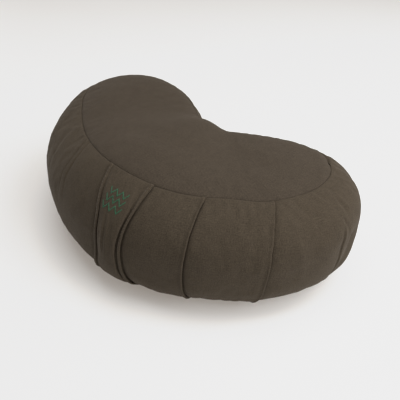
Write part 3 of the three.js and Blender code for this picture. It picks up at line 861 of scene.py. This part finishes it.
# Across the strap from its edge, folded: how far in and how high the outside and the underside
# lie. On the left the hem leans in over the middle, and on the right the middle leans out.
LEFT_OUTSIDE = (
    (0.05, 1.3), (-0.15, 1.7), (-0.15, 2.3), (0.2, 2.9), (0.8, 3.4), (1.6, 3.8), (2.4, 4.0), (3.2, 4.05),
    (3.9, 3.9), (4.35, 3.5), (4.45, 2.9), (4.25, 2.3), (3.95, 1.8), (3.9, 1.3), (4.2, 0.95), (4.9, 0.85),
    (5.5, 1.05), (5.9, 1.6), (6.05, 2.3), (6.2, 3.0), (6.5, 3.65), (7.1, 4.2), (8.2, 4.8), (9.9, 5.5),
    (12.8, 6.6),
)
LEFT_UNDERSIDE = (
    (0.4, 1.15), (0.65, 1.05), (0.95, 1.0), (1.3, 0.95), (1.6, 0.9), (1.9, 0.85), (2.2, 0.75), (2.5, 0.6),
    (2.8, 0.45), (3.1, 0.35), (3.4, 0.28), (3.7, 0.22), (4.0, 0.2), (4.4, 0.2), (4.9, 0.2), (5.5, 0.2),
    (6.2, 0.25), (6.8, 0.7), (7.05, 1.4), (7.2, 2.1), (7.45, 2.7), (8.0, 3.3), (9.0, 3.9), (10.6, 4.6),
    (13.2, 5.5),
)
RIGHT_OUTSIDE = (
    (0.05, 1.3), (-0.15, 1.8), (-0.1, 2.3), (0.25, 2.75), (0.8, 3.05), (1.6, 3.2), (2.4, 3.15), (3.0, 2.95),
    (3.45, 2.55), (3.65, 2.0), (3.7, 1.5), (3.9, 1.05), (4.5, 0.85), (5.6, 0.8), (6.8, 0.9), (7.5, 1.4),
    (7.5, 2.2), (7.1, 3.1), (6.6, 4.0), (6.4, 4.9), (6.7, 5.6), (7.5, 6.05), (8.8, 6.35), (10.5, 6.5),
    (12.8, 6.6),
)
RIGHT_UNDERSIDE = (
    (0.4, 1.15), (0.65, 1.05), (0.95, 1.0), (1.3, 0.95), (1.7, 0.9), (2.1, 0.85), (2.4, 0.75), (2.7, 0.65),
    (2.9, 0.5), (3.1, 0.4), (3.4, 0.32), (3.9, 0.28), (4.8, 0.28), (6.2, 0.28), (7.6, 0.32), (8.6, 0.8),
    (8.65, 1.9), (8.3, 3.0), (7.8, 3.9), (7.55, 4.5), (7.75, 4.85), (8.4, 5.1), (9.3, 5.25), (10.8, 5.38),
    (12.9, 5.45),
)
# The same spread flat, before it is folded.
FLAT_ACROSS = (
    0, 0.1, 0.3, 0.6, 1.1, 1.9, 2.7, 3.4, 3.9, 4.2, 4.4, 4.7, 5.2, 5.9, 6.5, 7.0, 7.4, 7.8, 8.2, 8.7, 9.2,
    9.9, 10.7, 11.6, 12.5,
)
FLAT_OUTSIDE = (0.9, 1.4, 1.9, 2.15, 2.25, 2.3, 2.3, 2.25, 2.1, 1.9, 1.7, 1.6, 1.55) + (1.5,) * 12
FLAT_UNDERSIDE = 0.32
FULL_BULGE = 6.6
STRAP_MIDDLE_COLUMNS = 26
STRAP_ROWS = 221
STRAP_ENDS = (0.004, 0.992)
# The columns of a side over which its wall comes in, and how high its foot is outside and under.
WALL_COLUMNS = (14.0, 3.0)
OUTSIDE_FOOT, UNDERSIDE_FOOT = 1.0, 0.28
# Where a strap that isn't folded starts to rise, from its edge, and over how far.
FLAT_RISE = (5, 7.5)
CROWN_SHARE = 0.14
GATHERED_FROM = (7.5, 3.0)
STRAP_TIGHTNESS = 0.5
GATHER_END_REACH = 6
# Gathers across the strap: along it they are long and bend. They stand highest round two shares of
# its height, its top and its waist: how high, where and how far to either side.
GATHER_COUNT = 10
GATHER_BENDING = 9
GATHER_HEIGHTS = ((0.14, 0.05, 0.08), (0.38, 0.44, 0.13))
GATHER_LEAST = 0.04
GATHERS = [rng.uniform(low, high, GATHER_COUNT) for low, high in ((4.0, 9.0), (0, 2 * np.pi), (-1.5, 1.5))]


def gathers(across, share):
    total = 0
    for length, phase, bend in zip(*GATHERS):
        bent = bend * np.sin(GATHER_BENDING * share + phase)
        total = total + np.sin(2 * np.pi * across / length + phase + bent)
    near = sum(high * np.exp(-(((share - middle) / reach) ** 2)) for high, middle, reach in GATHER_HEIGHTS)
    return total / np.sqrt(GATHER_COUNT / 2) * (near + GATHER_LEAST)


def strap_side(share, outside, right):
    """Millimetres in from an edge and out from the band, for each row and each column by it."""
    folded = smooth_curve(share, STRAP_SHARES, STRAP_FOLDED)[:, None]
    bulge = smooth_curve(share, STRAP_SHARES, STRAP_BULGE)[:, None]
    hem = smooth_curve(share, STRAP_SHARES, RIGHT_HEM if right else LEFT_HEM)[:, None]
    sections = (RIGHT_OUTSIDE, RIGHT_UNDERSIDE) if right else (LEFT_OUTSIDE, LEFT_UNDERSIDE)
    inwards, high = np.array(sections[0 if outside else 1]).T
    flat_inwards = np.array(FLAT_ACROSS)
    flat_high = np.array(FLAT_OUTSIDE) if outside else np.full(len(high), FLAT_UNDERSIDE)
    # The wall of the middle grows with the bulge, and the hem does not.
    wall = step01((np.arange(len(high)) - WALL_COLUMNS[0]) / WALL_COLUMNS[1])
    foot = OUTSIDE_FOOT if outside else UNDERSIDE_FOOT
    high = np.where(wall > 0, foot + (high - foot) * (1 + wall * (bulge / FULL_BULGE - 1)), high)
    across = flat_inwards + folded * (inwards - flat_inwards)
    rise = step01((across - FLAT_RISE[0]) / FLAT_RISE[1])
    return across * hem, flat_high + folded * (high - flat_high) + (1 - folded) * bulge * rise


def strap_layers():
    """Grids of points for the strap's outside and underside, with each column's place and share."""
    share = STRAP_ENDS[0] + (STRAP_ENDS[1] - STRAP_ENDS[0]) * np.linspace(0, 1, STRAP_ROWS)
    left = smooth_curve(share, STRAP_SHARES, STRAP_LEFT)
    right = smooth_curve(share, STRAP_SHARES, STRAP_RIGHT)
    stretch = band_frame((left + right) / 2, share)[2]
    width = ((right - left) * stretch)[:, None]
    between = np.linspace(0, 1, STRAP_MIDDLE_COLUMNS + 2)[1:-1]
    bulge = smooth_curve(share, STRAP_SHARES, STRAP_BULGE)[:, None]
    layers = []
    for outside in (True, False):
        left_in, left_out = strap_side(share, outside, False)
        right_in, right_out = strap_side(share, outside, True)
        start, stop = left_in[:, -1:], width - right_in[:, -1:]
        middle = start + (stop - start) * between
        crown = left_out[:, -1:] + (right_out[:, -1:] - left_out[:, -1:]) * between
        crown = crown + CROWN_SHARE * bulge * (1 - (2 * between - 1) ** 2)
        across = np.concatenate([left_in, middle, width - right_in[:, ::-1]], 1)
        out = np.concatenate([left_out, crown, right_out[:, ::-1]], 1)
        place = left[:, None] + across / stretch[:, None]
        rows = share[:, None] + np.zeros_like(place)
        points, normal, _ = band_frame(place, rows)
        from_end = np.minimum(rows, 1 - rows) * band_height(place)
        edge = np.minimum(across, width - across)
        inside = step01((edge - GATHERED_FROM[0]) / GATHERED_FROM[1])
        out = out + gathers(across, rows) * inside * step01(from_end / GATHER_END_REACH)
        lumps = LUMP_HEIGHT * unevenness(points, LUMPS) * step01(from_end / LUMP_REACH)
        out += lumps - seam_dip(from_end, STRAP_TIGHTNESS)
        out += settled(place, rows * BAND_STEPS, "band") * step01(from_end / WRINKLE_REACH)
        layers.append(points + normal * out[..., None])
    return layers[0], layers[1], place, rows


settle()
STRAP_OUTSIDE, STRAP_UNDERSIDE, STRAP_PLACE, STRAP_SHARE = strap_layers()


def make_strap():
    n, m = STRAP_PLACE.shape
    points = np.concatenate([STRAP_OUTSIDE.reshape(-1, 3), STRAP_UNDERSIDE.reshape(-1, 3)])
    steps = np.linalg.norm(np.diff(STRAP_OUTSIDE, axis=1), axis=-1)
    run = np.concatenate([np.zeros((n, 1)), np.cumsum(steps, 1)], 1)
    run = run - run[:, m // 2, None]
    down = running_length(STRAP_OUTSIDE[:, m // 2])[:, None] + np.zeros((n, m))
    uv = np.stack([run, -down], -1).reshape(-1, 2) / UV_MM
    uv = np.concatenate([uv, uv])
    under = n * m
    a = (np.arange(n - 1)[:, None] * m + np.arange(m - 1)).ravel()
    face = np.stack([a, a + m, a + m + 1, a + 1], -1)
    # Narrow faces close the strap along its left and right edges, then across its two ends.
    i, k = np.arange(n - 1) * m, np.arange(m - 1)
    j, e = i + m - 1, k + (n - 1) * m
    edges = [
        ((i, i + under, i + m + under, i + m), (j, j + m, j + m + under, j + under)),
        ((k, k + 1, k + 1 + under, k + under), (e, e + under, e + 1 + under, e + 1)),
    ]
    edges = [np.stack([np.stack(quad, -1) for quad in pair], 1).reshape(-1, 4) for pair in edges]
    faces = np.concatenate([face, face[:, ::-1] + under, *edges])
    return make_mesh("strap_cloth", points, faces, uv[faces].reshape(-1, 2))


# ---- sewing on the strap ----
STITCH_SIDES = 8
STITCH_RINGS = 5
# How far from each end of a thread its first and last rings lie.
STITCH_END = 0.03
HEM_STITCH = 2.6
HEM_STITCH_GAP = 1.0
HEM_START, HEM_STOP = 2, 4
THREAD_RADIUS = 0.26
# The rows and the column of the strap's mesh that a hem is stitched along, and the first column of its
# open middle.
HEM_ROWS = slice(4, -4)
HEM_COLUMN = 6
FIRST_OPEN_COLUMN = 22
# A plain pattern of zigzag rows in green thread, at the upper middle of the strap.
ZIGZAG_ROWS = 3
ZIGZAG_ROW_SPACING = 8.2
ZIGZAG_WIDTH = 25.0
ZIGZAG_POINTS = 3
ZIGZAG_HEIGHT = 6.4
SATIN_LENGTH = 2.3
SATIN_PITCH = 0.5
SATIN_RADIUS = 0.27
SATIN_WOBBLE = 0.08
PATTERN_PLACE = 18.5
PATTERN_SHARE = 0.19


def stitch_mesh(name, starts, ends, normals, radius, sink):
    """Short rounded threads between pairs of points, pressed a little into the cloth."""
    angle = np.arange(STITCH_SIDES) / STITCH_SIDES * 2 * np.pi
    along = unit(ends - starts)
    aside = unit(np.cross(normals, along))
    out = np.cross(along, aside)
    t = np.linspace(STITCH_END, 1 - STITCH_END, STITCH_RINGS)
    fat = np.sin(np.pi * t) ** 0.5
    rings = []
    for ti, fi in zip(t, fat):
        middle = starts + (ends - starts) * ti + normals * (radius * fi - sink)
        circle = aside[:, None] * np.cos(angle)[None, :, None] + out[:, None] * np.sin(angle)[None, :, None]
        rings.append(middle[:, None] + circle * radius * fi)
    rings = np.stack(rings, 1)
    count = len(starts)
    caps = np.stack([starts - normals * sink, ends - normals * sink], 1)
    points = np.concatenate([rings.reshape(count, -1, 3), caps], 1)
    per = points.shape[1]
    last = (STITCH_RINGS - 1) * STITCH_SIDES
    pairs = [(i, (i + 1) % STITCH_SIDES) for i in range(STITCH_SIDES)]
    one = [tuple(quad) for quad in ring_faces(STITCH_RINGS, STITCH_SIDES)]
    one += [(per - 2, j, i) for i, j in pairs] + [(per - 1, last + i, last + j) for i, j in pairs]
    faces = [[corner + n * per for corner in face] for n in range(count) for face in one]
    return make_mesh(name, points.reshape(-1, 3), faces)


def grid_normals(grid):
    down, across = np.gradient(grid, axis=0), np.gradient(grid, axis=1)
    return unit(np.cross(down, across))


STRAP_NORMALS = grid_normals(STRAP_OUTSIDE)


def strap_spot(place, share):
    """Points on the open middle of the strap's outside and their normals."""
    n, m = STRAP_PLACE.shape
    spots, normals = [], []
    for at, part in zip(place, share):
        r = np.interp(part, STRAP_SHARE[:, 0], np.arange(n))
        i = min(int(r), n - 2)
        row = STRAP_PLACE[i] + (r - i) * (STRAP_PLACE[i + 1] - STRAP_PLACE[i])
        columns = np.arange(FIRST_OPEN_COLUMN, m - FIRST_OPEN_COLUMN)
        c = np.interp(at, row[columns], columns)
        j = min(int(c), m - 2)
        weights = np.outer([1 - (r - i), r - i], [1 - (c - j), c - j])[..., None]
        spots.append((STRAP_OUTSIDE[i : i + 2, j : j + 2] * weights).sum((0, 1)))
        normals.append((STRAP_NORMALS[i : i + 2, j : j + 2] * weights).sum((0, 1)))
    return np.array(spots), unit(np.array(normals))


def hem_stitches():
    starts, ends, normals = [], [], []
    m = STRAP_PLACE.shape[1]
    for column in (HEM_COLUMN, m - 1 - HEM_COLUMN):
        line, normal = STRAP_OUTSIDE[HEM_ROWS, column], STRAP_NORMALS[HEM_ROWS, column]
        length = running_length(line)
        for at in np.arange(HEM_START, length[-1] - HEM_STOP, HEM_STITCH + HEM_STITCH_GAP):
            for part, run in ((starts, at), (ends, at + HEM_STITCH)):
                part.append([np.interp(run, length, line[:, i]) for i in range(3)])
            normals.append(normal[np.searchsorted(length, at + HEM_STITCH / 2)])
    return np.array(starts), np.array(ends), np.array(normals)


def pattern_stitches():
    """Satin threads across each stroke of the zigzag rows."""
    height = float(band_height(PATTERN_PLACE))
    stretch = float(band_frame(np.array([PATTERN_PLACE]), np.array([PATTERN_SHARE]))[2][0])
    corners = np.linspace(-0.5, 0.5, 2 * ZIGZAG_POINTS + 1) * ZIGZAG_WIDTH
    up_down = ZIGZAG_HEIGHT / 2 * np.where(np.arange(len(corners)) % 2 == 0, -1, 1)
    spots = []
    for row in range(ZIGZAG_ROWS):
        line = np.stack([corners, (row - (ZIGZAG_ROWS - 1) / 2) * ZIGZAG_ROW_SPACING + up_down], 1)
        for p, q in zip(line[:-1], line[1:]):
            steps = int(np.linalg.norm(q - p) / SATIN_PITCH)
            spots += [p + (q - p) * (k + 0.5) / steps for k in range(steps)]
    spots = np.array(spots)
    wobble = rng.normal(0, SATIN_WOBBLE, spots.shape)
    place = PATTERN_PLACE + (spots[:, 0] + wobble[:, 0]) / stretch
    starts, normals = strap_spot(place, PATTERN_SHARE + (spots[:, 1] - SATIN_LENGTH / 2) / height)
    ends, _ = strap_spot(place, PATTERN_SHARE + (spots[:, 1] + SATIN_LENGTH / 2) / height)
    return starts, ends, normals


# ---- materials ----
class Nodes:
    """A material, and short ways to add nodes to it. A node's inputs go by name or number."""

    def __init__(self, name):
        self.material = bpy.data.materials.new(name)
        self.material.use_nodes = True
        self.tree = self.material.node_tree
        self.tree.nodes.clear()
        self.shader = self.tree.nodes.new("ShaderNodeBsdfPrincipled")
        self.put(self.tree.nodes.new("ShaderNodeOutputMaterial"), {0: self.shader.outputs[0]})

    def put(self, node, inputs):
        for key, value in inputs.items():
            if isinstance(value, bpy.types.NodeSocket):
                self.tree.links.new(value, node.inputs[key])
            else:
                node.inputs[key].default_value = value

    def add(self, kind, inputs, output=0, **settings):
        node = self.tree.nodes.new("ShaderNode" + kind)
        for name, value in settings.items():
            setattr(node, name, value)
        self.put(node, inputs)
        return node.outputs[output]

    def math(self, operation, *values):
        return self.add("Math", dict(enumerate(values)), operation=operation)

    def noise(self, vector, detail=2.0, roughness=0.5):
        inputs = {"Vector": vector, "Scale": 1.0, "Detail": detail, "Roughness": roughness}
        return self.add("TexNoise", inputs, "Fac")

    def scaled(self, vector, x, y, z=1.0):
        return self.add("VectorMath", {0: vector, 1: (x, y, z)}, operation="MULTIPLY")

    def span(self, *values):
        """A value brought from one range to another: value, low, high, to_low, to_high."""
        return self.add("MapRange", dict(enumerate(values)))

    def mix_colour(self, factor, a, b):
        return self.add("Mix", {0: factor, 6: a, 7: b}, 2, data_type="RGBA")

    def scale_colour(self, colour, factor):
        return self.add("VectorMath", {0: colour, 3: factor}, operation="SCALE")

    def bump(self, height, distance, strength, **more):
        return self.add("Bump", {"Height": height, "Distance": distance, "Strength": strength, **more})


THREAD_PITCH = 0.62
# How far noise is drawn out across and along a thread, for slubs, and its scale for grain and mottle.
SLUB_STRETCH = (0.62, 0.06)
GRAIN_SCALE = 0.42
MOTTLE_SCALE = 0.05
# The range that noise keeps to, and how much of the shade each kind makes.
NOISE_RANGE = (0.3, 0.7)
SLUB_SHADE, GRAIN_SHADE, MOTTLE_SHADE = 0.5, 0.4, 0.1
# How softly one thread passes over another, how round it is, and its painted shade: darker at its edge, in
# the weave's hollows, lighter on top.
CROSSING = (-0.3, 0.3)
THREAD_ROUNDNESS = 0.7
THREAD_PAINTED_SHADE = (0.72, 1.06)
CLOTH_ROUGHNESS = (0.86, 0.96)
CLOTH_SHEEN = {"Sheen Weight": 0.07, "Sheen Roughness": 0.5, "Sheen Tint": (0.85, 0.7, 0.55, 1)}
CLOTH_SPECULAR = 0.14
# How high bumps stand, in metres, and their strength.
SLUB_BUMP = (0.0009, 0.6)
WEAVE_BUMP = (0.00012, 0.55)
TWIST_BUMP = (0.00006, 0.5)


def cloth_material(name, dark, light):
    n = Nodes(name)
    uv = n.add("UVMap", {}, uv_map="cloth")
    threads = n.scaled(uv, UV_MM / THREAD_PITCH, UV_MM / THREAD_PITCH)
    axes = [n.add("SeparateXYZ", {0: threads}, axis) for axis in (0, 1)]
    warp, weft = [n.math("SINE", n.math("MULTIPLY", axis, math.pi)) for axis in axes]
    over = n.span(n.math("MULTIPLY", warp, weft), *CROSSING, 0.0, 1.0)
    heights = [n.math("POWER", n.math("ABSOLUTE", wave), THREAD_ROUNDNESS) for wave in (warp, weft)]
    thread = n.math("MULTIPLY_ADD", over, n.math("SUBTRACT", *heights), heights[1])
    # Slubs: threads of uneven thickness and shade, one set along each way of the cloth.
    slubs = [n.noise(n.scaled(threads, *stretch), 2.0, 0.6) for stretch in (SLUB_STRETCH, SLUB_STRETCH[::-1])]
    slub = n.math("ADD", *[n.math("MULTIPLY", one, 0.5) for one in slubs])
    grain = n.noise(n.scaled(threads, GRAIN_SCALE, GRAIN_SCALE), 1.0)
    mottle = n.noise(n.scaled(threads, MOTTLE_SCALE, MOTTLE_SCALE), 3.0, 0.55)
    kinds = ((slub, SLUB_SHADE), (grain, GRAIN_SHADE), (mottle, MOTTLE_SHADE))
    shades = [n.span(noise, *NOISE_RANGE, 0.0, share) for noise, share in kinds]
    shade = n.math("ADD", n.math("ADD", *shades[:2]), shades[2])
    colour = n.mix_colour(shade, dark, light)
    n.put(n.shader, {
        # Painted shade in the weave: the colour darkens where a thread dips between others and lightens on
        # its top.
        "Base Color": n.scale_colour(colour, n.span(thread, 0.0, 1.0, *THREAD_PAINTED_SHADE)),
        "Roughness": n.span(slub, *NOISE_RANGE, *CLOTH_ROUGHNESS),
        "Specular IOR Level": CLOTH_SPECULAR,
        "Normal": n.bump(slub, *SLUB_BUMP, Normal=n.bump(thread, *WEAVE_BUMP)),
        **CLOTH_SHEEN,
    })
    return n.material


# The fineness of a stitch's ridges and of its change of shade, and how far its roughness changes.
THREAD_SCALE = 900
THREAD_NOISE_RANGE = (0.35, 0.65)
ROUGHNESS_SPREAD = 0.06
RIDGE_DISTORTION = 1.5


def thread_material(name, dark, light, roughness, sheen):
    """Twisted thread: fine slanting ridges, and a shade that changes a little from stitch to stitch."""
    n = Nodes(name)
    place = n.add("TexCoord", {}, "Object")
    shade = n.noise(n.scaled(place, THREAD_SCALE, THREAD_SCALE, THREAD_SCALE), 1.0)
    ridges = n.add("TexWave", {"Vector": place, "Scale": THREAD_SCALE, "Distortion": RIDGE_DISTORTION}, "Fac")
    smoothest, roughest = roughness - ROUGHNESS_SPREAD, roughness + ROUGHNESS_SPREAD
    n.put(n.shader, {
        "Base Color": n.mix_colour(n.span(shade, *THREAD_NOISE_RANGE, 0, 1), dark, light),
        "Roughness": n.span(shade, *NOISE_RANGE, smoothest, roughest),
        "Sheen Weight": sheen,
        "Normal": n.bump(ridges, *TWIST_BUMP),
    })
    return n.material


FLOOR_COLOUR = (0.663, 0.676, 0.684)
FLOOR_GLOW_COLOUR = (1.0, 0.87, 0.75, 1)
FLOOR_GLOW = 0.22
FLOOR_ROUGHNESS = 0.9
FLOOR_NOISE_SCALE = 3
FLOOR_TONES = (0.985, 1.0)


def floor_material():
    """A pale sweep that glows a little, as over a light table, so that shadows on it stay light."""
    n = Nodes("floor")
    place = n.add("TexCoord", {}, "Object")
    noise = n.noise(n.scaled(place, FLOOR_NOISE_SCALE, FLOOR_NOISE_SCALE, FLOOR_NOISE_SCALE))
    tone = n.span(noise, *NOISE_RANGE, *FLOOR_TONES)
    n.put(n.shader, {
        "Base Color": n.scale_colour(FLOOR_COLOUR, tone),
        "Roughness": FLOOR_ROUGHNESS,
        "Emission Color": FLOOR_GLOW_COLOUR,
        "Emission Strength": FLOOR_GLOW,
    })
    return n.material


# The band, strap and panels are one cloth. The panels' colours are painted a little darker, as shade that
# evens out the stronger light on the top. The band's colours are a little more saturated, as painted shade on
# the sides.
BAND_DARK = (0.0291, 0.0220, 0.0144, 1)
BAND_LIGHT = (0.0780, 0.0599, 0.0413, 1)
PANEL_DARK = (0.0280, 0.0213, 0.0148, 1)
PANEL_LIGHT = (0.0736, 0.0566, 0.0405, 1)

band_cloth = cloth_material("band_cloth", BAND_DARK, BAND_LIGHT)
panel_cloth = cloth_material("panel_cloth", PANEL_DARK, PANEL_LIGHT)
strap_material = cloth_material("strap_cloth", BAND_DARK, BAND_LIGHT)
hem_thread = thread_material("hem_thread", (0.05, 0.038, 0.026, 1), (0.085, 0.066, 0.046, 1), 0.75, 0.05)
green_thread = thread_material("green_thread", (0.003, 0.040, 0.016, 1), (0.010, 0.105, 0.042, 1), 0.6, 0.04)
# How deep the stitches are pressed into the cloth.
HEM_SINK = 0.18
SATIN_SINK = 0.06


def dress(piece, material, slot_name, *nodes):
    piece.data.materials.append(material)
    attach(piece, "root")
    if nodes:
        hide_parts(*nodes)
    return piece


body = dress(make_body(), band_cloth, "band_cloth", "filled_side_band")
top_panel = dress(make_panel("top_panel_cloth", True), panel_cloth, "panel_cloth", "top_panel")
bottom_panel = dress(make_panel("bottom_panel_cloth", False), panel_cloth, "panel_cloth", "bottom_panel")
strap = dress(make_strap(), strap_material, "strap_cloth", "carry_strap")
hem_sewing = stitch_mesh("strap_hem_stitches", *hem_stitches(), THREAD_RADIUS, HEM_SINK)
hem_sewing.data.materials.append(hem_thread)
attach(hem_sewing, "root")
pattern = stitch_mesh("strap_zigzag_stitches", *pattern_stitches(), SATIN_RADIUS, SATIN_SINK)
pattern.data.materials.append(green_thread)
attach(pattern, "root")


# ---- floor and light ----
FLOOR_HALF = 6.0
FLOOR_LEVEL = -0.0004
LIGHT_AIM = Vector((0, 0, 0.07))
WORLD_COLOUR = (1.0, 0.998, 0.992, 1)
WORLD_STRENGTH = 0.26
# Soft lights: degrees from the front towards the right, degrees up, distance, size and power.
LIGHTS = (
    ("overhead", 0, 88, 1.3, 0.9, 9.3),
    ("right", 105, 50, 1.3, 0.9, 5.9),
    ("back_right", 150, 50, 1.3, 0.9, 4.3),
    ("back_low", 150, 20, 1.3, 0.9, 2.5),
    ("near_right", 82, 30, 0.6, 0.4, 0.8),
    ("left_low", 280, 10, 1.3, 0.4, 2.8),
)
# The brightest tones are drawn in softly, as a camera does: pairs of light in and light out.
TONE_RANGE = 1.6
TONES = (
    (0, 0), (0.12, 0.12), (0.25, 0.25), (0.35, 0.35), (0.45, 0.45), (0.55, 0.551), (0.637, 0.637),
    (0.7, 0.712), (0.75, 0.762), (0.8, 0.795), (0.86, 0.818), (1.0, 0.834), (1.2, 0.848), (1.6, 0.864),
)


def make_floor():
    mesh = bpy.data.meshes.new("floor")
    corners = [(x * FLOOR_HALF, y * FLOOR_HALF, FLOOR_LEVEL) for x, y in ((-1, -1), (1, -1), (1, 1), (-1, 1))]
    mesh.from_pydata(corners, [], [(0, 1, 2, 3)])
    floor = bpy.data.objects.new("floor", mesh)
    bpy.context.scene.collection.objects.link(floor)
    mesh.materials.append(floor_material())


def add_light(name, around, above, distance, size, power):
    data = bpy.data.lights.new(name, "AREA")
    data.shape, data.size, data.energy = "DISK", size, power
    light = bpy.data.objects.new(name, data)
    a, e = math.radians(around), math.radians(above)
    way = (math.sin(a) * math.cos(e), -math.cos(a) * math.cos(e), math.sin(e))
    light.location = [distance * v for v in way]
    light.rotation_euler = (LIGHT_AIM - light.location).to_track_quat("-Z", "Y").to_euler()
    bpy.context.scene.collection.objects.link(light)


make_floor()
for row in LIGHTS:
    add_light(*row)
world = bpy.data.worlds.new("studio")
world.use_nodes = True
background = world.node_tree.nodes["Background"]
background.inputs[0].default_value = WORLD_COLOUR
background.inputs[1].default_value = WORLD_STRENGTH
bpy.context.scene.world = world
settings = bpy.context.scene.view_settings
settings.view_transform = "Standard"
settings.use_curve_mapping = True
tone_curve = settings.curve_mapping
tone_curve.white_level = (TONE_RANGE, TONE_RANGE, TONE_RANGE)
points = tone_curve.curves[3].points
for light, drawn in TONES[1:-1]:
    points.new(light / TONE_RANGE, drawn)
points[-1].location = (1, TONES[-1][1])
for point in points:
    point.handle_type = "VECTOR"
tone_curve.update()
